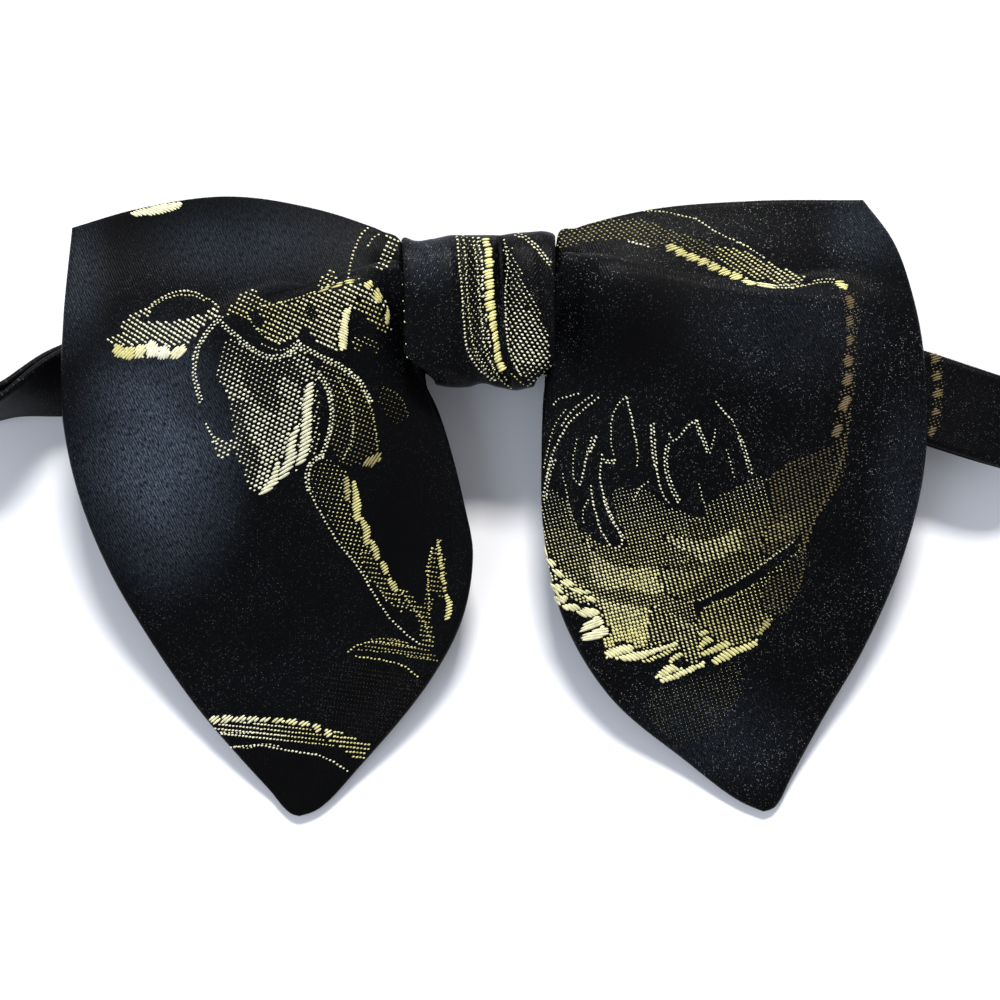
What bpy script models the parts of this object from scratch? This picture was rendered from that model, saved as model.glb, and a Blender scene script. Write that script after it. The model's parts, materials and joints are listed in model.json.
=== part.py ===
"""Oversized pre-tied bow tie, lying on its back with its neck strap folded under it.

Two padded wings of doubled satin fan out of a wrapped centre knot. A flat neck strap runs through the
back of the knot, turns at both sides and closes behind the neck in one plain sleeve clasp.
Units are metres, +Z is up, +X is the wearer's left as seen from the front and +Y is towards the chin.
"""

import math

import bmesh
import bpy
import numpy as np
from mathutils import Vector

# Bow, as it is seen from the front
BOW_WIDTH = 0.1728
BOW_HEIGHT = 0.1257
WING_THICKNESS = 0.0020
WING_RIM_SHARE = 0.62
FLAT_EDGE_SHARE = 0.12

# Knot that wraps the middle of the bow
KNOT_WIDTH = 0.0302
KNOT_HEIGHT = 0.0299
KNOT_WALL = 0.0016
KNOT_ACROSS_SHARE = -0.0336
KNOT_UP_SHARE = 0.6285
KNOT_LIFT = 0.0112
KNOT_CORNER_HEIGHT = 0.0060
KNOT_LEFT_CUT = 0.0060
KNOT_RIGHT_CUT = 0.0040

# Pleat that rolls out of the knot on each wing, and the small gathers beside it
PLEAT_TURN_DEG = 166.0
PLEAT_LEAST_OVERLAP_SHARE = 0.27
PLEAT_SETTLE_SHARE = 0.92
GATHERS = 3
GATHER_HEIGHT = 0.0007
GATHER_REACH_SHARE = 0.22

# Neck strap and the clasp behind the neck
STRAP_WIDTH = 0.0176
STRAP_THICKNESS = 0.0016
STRAP_REACH = 0.0215
CLASP_LENGTH = 0.024
CLASP_WALL = 0.0011
CLASP_CORNER = 0.0008
STRAP_END_GAP = 0.0012

# Clearances: between parts that touch, of the strap and the wings in the knot, inside the pleat's
# bends, and over the wings under the knot's front
GAP = 0.0003
STRAP_EASE = 0.0007
WING_EASE = 0.0012
PLEAT_ROOM = 0.0005
KNOT_ROOM = 0.0032

# Mesh steps
STEPS_ALONG_WING = 25
STEPS_UPPER_PANEL = 5
STEPS_PLEAT_TURN = 4
STEPS_LOWER_PANEL = 17
STEPS_ROUND_KNOT = 40
STEPS_ALONG_STRAP = 104
ROW_CROWDING = 1.4

SATIN_BLACK = (0.012, 0.013, 0.018)
STRAP_BLACK = (0.010, 0.010, 0.014)
CLASP_BLACK = (0.020, 0.020, 0.022)

# Outlines of the wings. along runs from the root inside the knot (0) to the outer edge (1). out is the
# share of the way from the knot's side to the bow's end, up the share of half the bow's height, and
# rise the share of the way from the floor to the level at which the wings leave the knot.
# Columns of top and inner: along, out, up, rise. Columns of outer: down, out, up, rise.
# Columns of crest, the pleat's roll: along, down, share of the full turn, overlap in pleat radii.
# Columns of relief, the broad swells: along, down, height as a share of half the bow's height, reach
# along, reach down.

LEFT_WING = {
    "side": -1,
    "top": (
        (0.10, 0.047, 0.884, 1.00),
        (0.20, 0.123, 0.914, 1.00),
        (0.36, 0.260, 0.960, 0.98),
        (0.64, 0.553, 1.000, 0.94),
        (0.84, 0.793, 0.958, 0.94),
        (1.00, 0.970, 0.901, 0.95),
    ),
    "inner": (
        (0.10, -0.064, 0.408, 1.00),
        (0.15, -0.075, 0.376, 1.00),
        (0.20, -0.091, 0.341, 1.00),
        (0.28, -0.119, 0.259, 0.98),
        (0.42, -0.177, 0.014, 0.86),
        (0.50, -0.200, -0.130, 0.76),
        (0.58, -0.182, -0.294, 0.64),
        (0.72, -0.071, -0.550, 0.38),
        (0.86, 0.138, -0.830, 0.12),
        (0.965, 0.279, -0.984, 0.01),
        (1.00, 0.330, -1.001, 0.00),
    ),
    "outer": (
        (0.00, 0.970, 0.901, 0.95),
        (0.148, 0.986, 0.588, 1.20),
        (0.282, 0.990, 0.305, 1.16),
        (0.41, 0.946, 0.037, 0.97),
        (0.526, 0.868, -0.194, 0.74),
        (0.636, 0.768, -0.399, 0.50),
        (0.765, 0.632, -0.630, 0.27),
        (0.902, 0.463, -0.854, 0.09),
        (0.974, 0.372, -0.971, 0.01),
        (1.00, 0.330, -1.001, 0.00),
    ),
    "crest": (
        (0.00, 0.20, 1.00, 2.00),
        (0.06, 0.20, 1.00, 2.27),
        (0.16, 0.25, 1.00, 2.00),
        (0.25, 0.275, 0.95, 2.13),
        (0.40, 0.275, 0.72, 1.33),
        (0.53, 0.255, 0.38, 0.53),
        (0.66, 0.24, 0.08, 0.00),
        (0.80, 0.22, 0.00, 0.00),
        (1.00, 0.20, 0.00, 0.00),
    ),
    "relief": (
        (0.24, 0.42, 0.048, 0.16, 0.18),
        (0.55, 0.50, 0.057, 0.30, 0.30),
        (0.16, 0.78, -0.016, 0.10, 0.14),
    ),
}

RIGHT_WING = {
    "side": 1,
    "top": (
        (0.10, 0.044, 0.903, 1.00),
        (0.20, 0.119, 0.937, 1.00),
        (0.36, 0.254, 0.967, 0.98),
        (0.66, 0.529, 0.987, 0.94),
        (1.00, 0.827, 0.990, 0.95),
    ),
    "inner": (
        (0.10, -0.030, 0.408, 1.00),
        (0.15, -0.033, 0.370, 1.00),
        (0.20, -0.035, 0.329, 0.99),
        (0.30, -0.038, 0.195, 0.96),
        (0.44, -0.032, -0.065, 0.84),
        (0.58, 0.022, -0.346, 0.62),
        (0.72, 0.150, -0.599, 0.36),
        (0.87, 0.354, -0.807, 0.12),
        (0.97, 0.531, -0.961, 0.01),
        (1.00, 0.590, -0.984, 0.00),
    ),
    "outer": (
        (0.00, 0.827, 0.990, 0.95),
        (0.076, 0.906, 0.858, 1.02),
        (0.17, 0.960, 0.669, 1.08),
        (0.283, 0.991, 0.432, 1.10),
        (0.424, 0.992, 0.132, 0.95),
        (0.562, 0.943, -0.156, 0.68),
        (0.707, 0.849, -0.443, 0.40),
        (0.841, 0.735, -0.694, 0.18),
        (0.948, 0.645, -0.895, 0.03),
        (1.00, 0.590, -0.984, 0.00),
    ),
    "crest": (
        (0.00, 0.20, 1.00, 2.00),
        (0.06, 0.20, 1.00, 2.40),
        (0.16, 0.22, 1.00, 2.80),
        (0.26, 0.24, 1.00, 2.93),
        (0.48, 0.23, 0.92, 2.40),
        (0.63, 0.205, 0.74, 1.47),
        (0.80, 0.175, 0.32, 0.40),
        (0.92, 0.165, 0.06, 0.00),
        (1.00, 0.16, 0.00, 0.00),
    ),
    "relief": (
        (0.22, 0.36, 0.051, 0.16, 0.16),
        (0.55, 0.50, 0.057, 0.30, 0.30),
        (0.15, 0.70, -0.019, 0.10, 0.14),
    ),
}

# Sections of the knot from its left side (-1) to its right side (1): where its upper and lower edges
# lie as shares of half its height, and how far its front stands out as a share of half its depth.
# Columns: across, top, bottom, front.
KNOT_SECTIONS = (
    (-1.00, 1.00, -0.95, 0.80),
    (-0.86, 0.94, -0.97, 0.88),
    (-0.62, 0.96, -0.99, 0.95),
    (-0.36, 1.01, -0.99, 0.98),
    (-0.20, 1.01, -0.98, 0.90),
    (0.00, 1.01, -0.94, 1.00),
    (0.16, 1.01, -0.95, 0.98),
    (0.27, 1.01, -0.98, 0.80),
    (0.40, 1.03, -1.00, 0.95),
    (0.65, 1.05, -1.03, 1.00),
    (0.86, 1.06, -1.00, 0.93),
    (1.00, 1.02, -0.98, 0.84),
)
KNOT_FRONT_ROUNDNESS = 2.8
KNOT_BACK_ROUNDNESS = 4.5

# Neck strap from the clasp round the right side, through the knot, round the left side and back. across
# is a share of half the bow's width, past 1 a share of the strap's reach beyond it, level the height
# of its lower edge as a share of its height in the knot, lean turns its chin edge up, and aside is how
# far the band lies towards the chin, as a share of its width.
# Columns: across, past, level, lean in degrees, aside.
STRAP_RUN = (
    (0.34, 0.00, 0.00, 0.0, 0.00),
    (0.65, 0.00, 0.00, 0.0, 0.02),
    (1.00, 0.30, 0.00, 0.0, 0.04),
    (1.00, 0.72, 0.05, 0.0, 0.04),
    (1.00, 0.94, 0.24, 0.0, 0.03),
    (1.00, 1.00, 0.50, 0.0, 0.00),
    (1.00, 0.93, 0.76, 0.0, 0.00),
    (1.00, 0.70, 0.93, 0.0, 0.00),
    (1.00, 0.20, 0.98, 0.0, 0.00),
    (0.65, 0.00, 1.00, 0.0, 0.00),
    (0.20, 0.00, 1.00, 0.0, 0.00),
    (-0.24, 0.00, 1.00, 0.0, 0.00),
    (-0.48, 0.00, 0.91, 5.0, 0.00),
    (-0.74, 0.00, 0.60, 18.0, 0.00),
    (-1.00, 0.00, 0.20, 46.0, 0.00),
    (-1.00, 0.56, 0.20, 82.0, 0.00),
    (-1.00, 0.86, 0.18, 84.0, 0.02),
    (-1.00, 1.00, 0.14, 84.0, 0.09),
    (-1.00, 0.86, 0.10, 84.0, 0.16),
    (-1.00, 0.56, 0.08, 82.0, 0.14),
    (-1.00, 0.00, 0.01, 46.0, 0.08),
    (-0.74, 0.00, 0.03, 18.0, 0.00),
    (-0.52, 0.00, 0.00, 2.0, 0.00),
    (-0.34, 0.00, 0.00, 0.0, 0.00),
)
# How far the strap's middle has dropped below the knot's, as a share of half the bow's height.
# Columns: across, drop.
STRAP_DROP = (
    (-1.30, 0.355),
    (-1.14, 0.294),
    (-1.00, 0.222),
    (-0.60, 0.085),
    (-0.10, 0.00),
    (0.10, 0.00),
    (0.60, 0.100),
    (1.00, 0.264),
    (1.17, 0.340),
    (1.30, 0.392),
)

KNOT_ACROSS = KNOT_ACROSS_SHARE * BOW_WIDTH / 2
KNOT_UP = KNOT_UP_SHARE * BOW_HEIGHT / 2
PLEAT_RADIUS = WING_THICKNESS / 2 + PLEAT_ROOM
KNOT_FILLING = STRAP_EASE + STRAP_THICKNESS + GAP + WING_THICKNESS + 4 * PLEAT_RADIUS + KNOT_ROOM
KNOT_DEPTH = 2 * KNOT_WALL + KNOT_FILLING
KNOT_MIDDLE = KNOT_LIFT + KNOT_DEPTH / 2
KNOT_CLEAR_HALF = KNOT_HEIGHT / 2 - KNOT_WALL
STRAP_LOW = STRAP_THICKNESS / 2
STRAP_HIGH = KNOT_LIFT + KNOT_WALL + STRAP_EASE + STRAP_THICKNESS / 2
CLASP_SLOT = STRAP_THICKNESS + 2 * GAP
CLASP_MIDDLE = CLASP_WALL + CLASP_SLOT / 2
WING_LOW = WING_THICKNESS / 2
WING_HIGH = STRAP_HIGH + STRAP_THICKNESS / 2 + GAP + WING_THICKNESS / 2
# Places along a wing: the knot's mouth, where the swells have risen in full, and where the cloth has
# its full padding
THROAT_SHARE = 0.06
SWELLS_SHARE = 0.20
PADDED_SHARE = 0.30


def smooth_step(x):
    """0 below 0, 1 above 1, and a smooth rise between them."""
    x = np.clip(x, 0.0, 1.0)
    return x * x * (3.0 - 2.0 * x)


def smooth_curve(rows, at):
    """Smooth line through rows of (position, value, ...), read at the given positions."""
    rows = np.array(rows, float)
    place, values = rows[:, 0], rows[:, 1:]
    slopes = np.gradient(values, place, axis=0)
    at = np.clip(np.atleast_1d(np.asarray(at, float)), place[0], place[-1])
    i = np.clip(np.searchsorted(place, at, side="right") - 1, 0, len(place) - 2)
    span = (place[i + 1] - place[i])[:, None]
    t = ((at - place[i]) / (place[i + 1] - place[i]))[:, None]
    start, end = values[i], values[i + 1]
    rise_start, rise_end = slopes[i] * span, slopes[i + 1] * span
    return (
        start * (1 + 2 * t) * (1 - t) ** 2
        + rise_start * t * (1 - t) ** 2
        + end * t * t * (3 - 2 * t)
        - rise_end * t * t * (1 - t)
    )


def knot_section(across):
    """Upper edge, lower edge and front of the knot at a place across it, in metres."""
    top, bottom, front = smooth_curve(KNOT_SECTIONS, across)[0]
    half_height, half_depth = KNOT_HEIGHT / 2, KNOT_DEPTH / 2
    return (
        KNOT_UP + top * half_height,
        KNOT_UP + bottom * half_height,
        KNOT_MIDDLE + front * half_depth,
    )


def knot_half_width(side, above_bottom):
    """Half the knot's width on one side, less near the bottom, where its mouth is cut back."""
    depth = KNOT_LEFT_CUT if side < 0 else KNOT_RIGHT_CUT
    return KNOT_WIDTH / 2 - depth * float(smooth_step(1.0 - above_bottom / KNOT_CORNER_HEIGHT))


def wing_point(side, out, up, rise):
    """Place of a point that an outline row gives by shares."""
    throat = KNOT_ACROSS + side * KNOT_WIDTH / 2
    end = side * BOW_WIDTH / 2
    return (
        throat + out * (end - throat),
        up * BOW_HEIGHT / 2,
        WING_LOW + rise * (WING_HIGH - WING_LOW),
    )


def wing_edges(wing):
    """The top edge, the inner edge and the outer edge as rows of position and x, y, z."""
    side = wing["side"]
    upper, lower, _ = knot_section(side)
    throat_x = KNOT_ACROSS + side * KNOT_WIDTH / 2
    root_x = KNOT_ACROSS + side * GAP
    low_x = KNOT_ACROSS + side * (knot_half_width(side, 0.0) + WING_EASE)
    inset = KNOT_WALL + WING_EASE
    half_root = KNOT_CLEAR_HALF - 2 * WING_EASE
    top = [
        (0.0, root_x, KNOT_UP + half_root, WING_HIGH),
        (THROAT_SHARE, throat_x, upper - inset, WING_HIGH),
    ]
    inner = [
        (0.0, root_x, KNOT_UP - half_root, WING_HIGH),
        (THROAT_SHARE, low_x, lower + inset, WING_HIGH),
    ]
    for along, out, up, rise in wing["top"]:
        top.append((along, *wing_point(side, out, up, rise)))
    for along, out, up, rise in wing["inner"]:
        inner.append((along, *wing_point(side, out, up, rise)))
    outer = [(down, *wing_point(side, out, up, rise)) for down, out, up, rise in wing["outer"]]
    return top, inner, outer


def wing_base(wing, along, down):
    """Middle layer of a wing without its pleat: a sheet stretched between its four edges."""
    top_rows, inner_rows, outer_rows = wing_edges(wing)
    along, down = np.broadcast_arrays(np.asarray(along, float), np.asarray(down, float))
    shape = along.shape
    a, d = along.ravel(), down.ravel()
    top, inner = smooth_curve(top_rows, a), smooth_curve(inner_rows, a)
    outer = smooth_curve(outer_rows, d)
    root_top, root_low = np.array(top_rows[0][1:]), np.array(inner_rows[0][1:])
    corner, tip = np.array(top_rows[-1][1:]), np.array(inner_rows[-1][1:])
    a, d = a[:, None], d[:, None]
    root = root_top * (1 - d) + root_low * d
    sheet = (1 - d) * top + d * inner + (1 - a) * root + a * outer
    sheet -= (1 - a) * (1 - d) * root_top + (1 - a) * d * root_low + a * (1 - d) * corner + a * d * tip
    off_edges = smooth_step(d / FLAT_EDGE_SHARE) * smooth_step((1 - d) / FLAT_EDGE_SHARE)
    for row_along, row_down, height, along_reach, down_reach in wing["relief"]:
        away = ((a - row_along) / along_reach) ** 2 + ((d - row_down) / down_reach) ** 2
        ends = smooth_step((a - THROAT_SHARE) / (SWELLS_SHARE - THROAT_SHARE))
        ends = ends * smooth_step((1 - a) / FLAT_EDGE_SHARE)
        sheet[:, 2:] += height * BOW_HEIGHT / 2 * np.exp(-away) * ends * off_edges
    waves = np.sin(GATHERS * math.pi * d) ** 2 * smooth_step(a / THROAT_SHARE)
    sheet[:, 2:] += GATHER_HEIGHT * waves * np.exp(-((a / GATHER_REACH_SHARE) ** 2)) * off_edges
    return sheet.reshape(*shape, 3)


def pleat_path(turn, overlap):
    """Across and height of a pleat: cloth that bends up by turn, runs back and bends level again."""
    bend = PLEAT_RADIUS * math.radians(PLEAT_TURN_DEG)
    radius = bend / max(turn, 0.01)
    turns = np.linspace(0.0, max(turn, 0.01), STEPS_PLEAT_TURN + 1)
    up_across, up_height = radius * np.sin(turns), radius * (1 - np.cos(turns))
    back_across = up_across[-1] + overlap * math.cos(turn)
    back_height = up_height[-1] + overlap * math.sin(turn)
    down_across = back_across + radius * (math.sin(turns[-1]) - np.sin(turns[::-1]))
    down_height = back_height + radius * (np.cos(turns[::-1]) - math.cos(turns[-1]))
    crest_across = down_across[-1] - radius * math.sin(min(turns[-1], math.pi / 2))
    across = np.concatenate([up_across, down_across])
    height = np.concatenate([up_height, down_height])
    return across, height, crest_across


def wing_section(wing, along):
    """One section of a wing from its top edge to its inner edge, with the pleat rolled into it."""
    crest, fold, overlap = smooth_curve(wing["crest"], along)[0]
    turn = math.radians(PLEAT_TURN_DEG) * min(max(fold, 0.0), 1.0)
    overlap = max(overlap, PLEAT_LEAST_OVERLAP_SHARE) * PLEAT_RADIUS
    half_step = 0.02
    near = wing_base(wing, np.array([along, along]), np.array([crest - half_step, crest + half_step]))
    stretch = np.linalg.norm(near[1] - near[0]) / (2 * half_step)
    across, height, crest_across = pleat_path(turn, overlap)
    pleat = crest + (across - crest_across) / stretch
    upper = np.linspace(0.0, pleat[0], STEPS_UPPER_PANEL + 1)[:-1]
    share = np.linspace(0.0, 1.0, STEPS_LOWER_PANEL + 1)[1:]
    lower = pleat[-1] + (1.0 - pleat[-1]) * share
    down = np.concatenate([upper, pleat, lower])
    points = wing_base(wing, np.full(len(down), along), down)
    points[len(upper) : len(upper) + len(pleat), 2] += height
    points[len(upper) + len(pleat) :, 2] += height[-1] * (1 - smooth_step(share / PLEAT_SETTLE_SHARE))
    return points


def grid_object(name, points, colour, roughness, closed=False):
    """Mesh object from rows of points, each row joined to the next; closed joins each row's ends."""
    rows, columns = points.shape[:2]
    corners = [tuple(p) for p in points.reshape(-1, 3)]
    faces = []
    for row in range(rows - 1):
        for column in range(columns if closed else columns - 1):
            after = (column + 1) % columns
            first, second = row * columns, (row + 1) * columns
            faces.append((first + column, first + after, second + after, second + column))
    mesh = bpy.data.meshes.new(name)
    mesh.from_pydata(corners, [], faces)
    mesh.shade_smooth()
    mesh.set_sharp_from_angle(angle=math.radians(60))
    return add_part(name, mesh, colour, roughness)


def add_part(name, mesh, colour, roughness):
    """Object for one sub-part, with its own material, under the bow's empty."""
    material = bpy.data.materials.new(name + "_finish")
    material.use_nodes = True
    shader = material.node_tree.nodes["Principled BSDF"]
    shader.inputs["Base Color"].default_value = (*colour, 1.0)
    shader.inputs["Roughness"].default_value = roughness
    mesh.materials.append(material)
    part = bpy.data.objects.new(name, mesh)
    PARTS.objects.link(part)
    part.parent = ANCHOR
    return part


def thicken(part, thickness, offset, rim_group=""):
    """Give a sheet its wall. rim_group names the vertex group that thins it towards its edges."""
    wall = part.modifiers.new("wall", "SOLIDIFY")
    wall.thickness = thickness
    wall.offset = offset
    wall.use_even_offset = False
    wall.use_rim = True
    if rim_group:
        wall.vertex_group = rim_group
        wall.thickness_vertex_group = WING_RIM_SHARE
    return wall


def make_wing(name, wing):
    """One half of the bow: a padded pouch that thins towards its sewn edges."""
    inside = np.linspace(0.0, THROAT_SHARE, 3)[:-1]
    steps = np.linspace(0.0, 1.0, STEPS_ALONG_WING - 1) ** ROW_CROWDING
    outside = THROAT_SHARE + (1 - THROAT_SHARE) * steps
    alongs = np.concatenate([inside, outside])
    sections = np.array([wing_section(wing, along) for along in alongs])
    if wing["side"] > 0:
        sections = sections[:, ::-1]
    part = grid_object(name, sections, SATIN_BLACK, 0.42)
    group = part.vertex_groups.new(name="padding")
    rows, columns = sections.shape[:2]
    for row in range(1, rows - 1):
        inside_row = range(row * columns + 1, (row + 1) * columns - 1)
        group.add(list(inside_row), float(smooth_step(alongs[row] / PADDED_SHARE)), "REPLACE")
    thicken(part, WING_THICKNESS, 0.0, "padding")
    return part


def make_knot():
    """Band of satin wrapped round the middle: an open tube along X with folds on its front."""
    acrosses = [row[0] for row in KNOT_SECTIONS]
    angles = np.linspace(0.0, 2 * math.pi, STEPS_ROUND_KNOT, endpoint=False)
    rings = []
    for across in acrosses:
        top, bottom, front = knot_section(across)
        middle, half = (top + bottom) / 2, (top - bottom) / 2
        ring = []
        for angle in angles:
            c, s = math.cos(angle), math.sin(angle)
            power = 2.0 / (KNOT_FRONT_ROUNDNESS if s >= 0 else KNOT_BACK_ROUNDNESS)
            depth = front - KNOT_MIDDLE if s >= 0 else KNOT_DEPTH / 2
            y = middle + half * math.copysign(abs(c) ** power, c)
            z = KNOT_MIDDLE + depth * math.copysign(abs(s) ** power, s)
            half_width = knot_half_width(1 if across > 0 else -1, y - bottom)
            ring.append((KNOT_ACROSS + across * half_width, y, z))
        rings.append(ring)
    part = grid_object("centre_knot", np.array(rings), SATIN_BLACK, 0.42, closed=True)
    thicken(part, KNOT_WALL, -1.0)
    return part


def strap_line():
    """Stations of the strap's middle line: place, and the direction across its width."""
    half_bow = BOW_WIDTH / 2
    in_clasp = [(STRAP_END_GAP / 2, CLASP_MIDDLE, 0.0, 0.0)]
    in_clasp.append((CLASP_LENGTH / 2 + GAP, CLASP_MIDDLE, 0.0, 0.0))
    stations = list(in_clasp)
    for across, past, level, lean, aside in STRAP_RUN:
        x = across * half_bow + math.copysign(past * STRAP_REACH, across)
        height = STRAP_LOW + level * (STRAP_HIGH - STRAP_LOW)
        stations.append((x, height, lean, aside * STRAP_WIDTH))
    stations += [(-x, height, lean, aside) for x, height, lean, aside in in_clasp[::-1]]
    stations = np.array(stations)
    steps = np.linalg.norm(np.diff(stations[:, (0, 1, 3)], axis=0), axis=1)
    place = np.concatenate([[0.0], np.cumsum(steps)])
    rows = np.column_stack([place, stations])
    x, low_edge, lean, aside = smooth_curve(rows, np.linspace(0.0, place[-1], STEPS_ALONG_STRAP)).T
    low_edge = np.maximum(low_edge, STRAP_LOW)
    tilt = np.radians(lean)
    share = x / half_bow
    drop = smooth_curve(STRAP_DROP, share)[:, 0] * BOW_HEIGHT / 2
    step = 0.01
    ahead = smooth_curve(STRAP_DROP, share + step)[:, 0] * BOW_HEIGHT / 2
    slope = (drop - ahead) / (step * half_bow)
    middle = np.column_stack([x, KNOT_UP - drop + aside, low_edge + np.sin(tilt) * STRAP_WIDTH / 2])
    level = np.column_stack([-slope, np.ones(len(x)), np.zeros(len(x))])
    level /= np.linalg.norm(level, axis=1)[:, None]
    width = np.cos(tilt)[:, None] * level + np.sin(tilt)[:, None] * np.array([0.0, 0.0, 1.0])
    return middle, width


def make_strap():
    """Flat neck band, one loop whose two ends meet inside the clasp."""
    middle, width = strap_line()
    across = np.linspace(-0.5, 0.5, 3)
    rows = middle[:, None] + width[:, None] * across[None, :, None] * STRAP_WIDTH
    part = grid_object("neck_strap", rows, STRAP_BLACK, 0.5)
    thicken(part, STRAP_THICKNESS, 0.0)
    return part


def box_mesh(name, length, width, height):
    """Box mesh around its own middle."""
    mesh = bpy.data.meshes.new(name)
    form = bmesh.new()
    bmesh.ops.create_cube(form, size=1.0)
    bmesh.ops.scale(form, vec=(length, width, height), verts=form.verts)
    form.to_mesh(mesh)
    form.free()
    return mesh


def make_clasp():
    """Plain sleeve that holds both ends of the strap: a rounded block with a slot right through."""
    slot_width = STRAP_WIDTH + 2 * GAP
    width, height = slot_width + 2 * CLASP_WALL, CLASP_SLOT + 2 * CLASP_WALL
    block = box_mesh("strap_clasp", CLASP_LENGTH, width, height)
    clasp = add_part("strap_clasp", block, CLASP_BLACK, 0.45)
    clasp.location = (0.0, KNOT_UP, CLASP_MIDDLE)
    cutter = box_mesh("clasp_slot", 2 * CLASP_LENGTH, slot_width, CLASP_SLOT)
    slot = bpy.data.objects.new("clasp_slot", cutter)
    CUTTERS.objects.link(slot)
    slot.parent = ANCHOR
    slot.location = clasp.location
    slot.hide_render = True
    slot.display_type = "WIRE"
    corners = clasp.modifiers.new("corners", "BEVEL")
    corners.width = CLASP_CORNER
    corners.segments = 3
    corners.limit_method = "ANGLE"
    cut = clasp.modifiers.new("slot", "BOOLEAN")
    cut.object = slot
    return clasp


def world_box(parts):
    """Lowest and highest corners of the finished parts together."""
    bpy.context.view_layer.update()
    depsgraph = bpy.context.evaluated_depsgraph_get()
    low, high = np.full(3, np.inf), np.full(3, -np.inf)
    for part in parts:
        shown = part.evaluated_get(depsgraph)
        corners = np.array([shown.matrix_world @ Vector(v.co) for v in shown.data.vertices])
        low, high = np.minimum(low, corners.min(0)), np.maximum(high, corners.max(0))
    return low, high


for old in list(bpy.data.objects):
    bpy.data.objects.remove(old, do_unlink=True)

PARTS = bpy.data.collections.new("oversized_bow_tie")
bpy.context.scene.collection.children.link(PARTS)
CUTTERS = bpy.data.collections.new("cutters")
bpy.context.scene.collection.children.link(CUTTERS)
ANCHOR = bpy.data.objects.new("bow_anchor", None)
PARTS.objects.link(ANCHOR)

made = [
    make_wing("left_wing", LEFT_WING),
    make_wing("right_wing", RIGHT_WING),
    make_knot(),
    make_strap(),
    make_clasp(),
]
low_corner, high_corner = world_box(made)
middle_corner = (low_corner + high_corner) / 2
ANCHOR.location = (-middle_corner[0], -middle_corner[1], -low_corner[2])
bpy.context.view_layer.update()
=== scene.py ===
"""Oversized bow tie of black satin with a gold brocade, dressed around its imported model.

Run as a script. Each operator makes one piece or one group of like pieces, and main calls them in order.
Lengths are in metres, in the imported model's own frame, with +Z up and +Y towards the chin.
"""

import json
import math

import bpy
import numpy as np
from bpy.props import FloatProperty, FloatVectorProperty, IntProperty, PointerProperty
from bpy.types import NodeSocket, Operator, Panel, PropertyGroup
from mathutils import Matrix, Vector
from mathutils.bvhtree import BVHTree

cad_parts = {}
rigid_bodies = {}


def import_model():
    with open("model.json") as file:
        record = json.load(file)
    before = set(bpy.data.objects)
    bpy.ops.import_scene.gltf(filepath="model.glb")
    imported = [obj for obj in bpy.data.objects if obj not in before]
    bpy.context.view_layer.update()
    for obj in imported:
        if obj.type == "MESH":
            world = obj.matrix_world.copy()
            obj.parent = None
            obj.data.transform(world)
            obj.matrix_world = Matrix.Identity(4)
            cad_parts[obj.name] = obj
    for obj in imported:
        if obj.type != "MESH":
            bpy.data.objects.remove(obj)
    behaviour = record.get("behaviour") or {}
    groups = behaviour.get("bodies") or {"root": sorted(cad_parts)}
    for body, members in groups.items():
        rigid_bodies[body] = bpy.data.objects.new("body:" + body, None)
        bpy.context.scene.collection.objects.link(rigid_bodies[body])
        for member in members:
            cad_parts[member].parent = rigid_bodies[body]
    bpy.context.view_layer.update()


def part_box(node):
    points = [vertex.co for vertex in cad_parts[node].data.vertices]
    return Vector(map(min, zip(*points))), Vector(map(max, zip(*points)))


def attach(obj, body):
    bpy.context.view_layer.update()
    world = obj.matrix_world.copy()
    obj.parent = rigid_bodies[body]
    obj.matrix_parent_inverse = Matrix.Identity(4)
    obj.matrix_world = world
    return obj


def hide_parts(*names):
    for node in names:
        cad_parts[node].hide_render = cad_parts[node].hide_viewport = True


bl_info = {
    "name": "Oversized bow tie",
    "version": (1, 0, 0),
    "blender": (4, 5, 0),
    "location": "View3D > Sidebar > Bow tie",
    "description": "Makes a pre-tied bow tie of brocaded satin with its neck strap and a studio stage",
    "category": "Object",
}

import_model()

# Bow, knot and strap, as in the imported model
BOW_WIDTH = 0.1728
BOW_HEIGHT = 0.1257
WING_THICKNESS = 0.0020
KNOT_WIDTH = 0.0302
KNOT_HEIGHT = 0.0299
KNOT_WALL = 0.0016
KNOT_ACROSS = -0.0336 * BOW_WIDTH / 2
KNOT_UP = 0.6285 * BOW_HEIGHT / 2
KNOT_LIFT = 0.0112
KNOT_CORNER_HEIGHT = 0.0060
KNOT_CUT = {-1: 0.0060, 1: 0.0040}
STRAP_WIDTH = 0.0176
STRAP_THICKNESS = 0.0016
STRAP_REACH = 0.0215
CLASP_LENGTH = 0.024
CLASP_WALL = 0.0011
STRAP_END_GAP = 0.0012
GAP = 0.0003
STRAP_EASE = 0.0007
WING_EASE = 0.0012
PLEAT_RADIUS = WING_THICKNESS / 2 + 0.0005
PLEAT_TURN = math.radians(166.0)
KNOT_FILLING = STRAP_EASE + STRAP_THICKNESS + GAP + WING_THICKNESS + 4 * PLEAT_RADIUS + 0.0032
KNOT_DEPTH = 2 * KNOT_WALL + KNOT_FILLING
KNOT_MIDDLE = KNOT_LIFT + KNOT_DEPTH / 2
STRAP_LOW = STRAP_THICKNESS / 2
STRAP_HIGH = KNOT_LIFT + KNOT_WALL + STRAP_EASE + STRAP_THICKNESS / 2
CLASP_SLOT = STRAP_THICKNESS + 2 * GAP
CLASP_MIDDLE = CLASP_WALL + CLASP_SLOT / 2
WING_LOW = WING_THICKNESS / 2
WING_HIGH = STRAP_HIGH + STRAP_THICKNESS / 2 + GAP + WING_THICKNESS / 2
# Share of a wing's length that lies inside the knot
THROAT = 0.06

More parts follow.
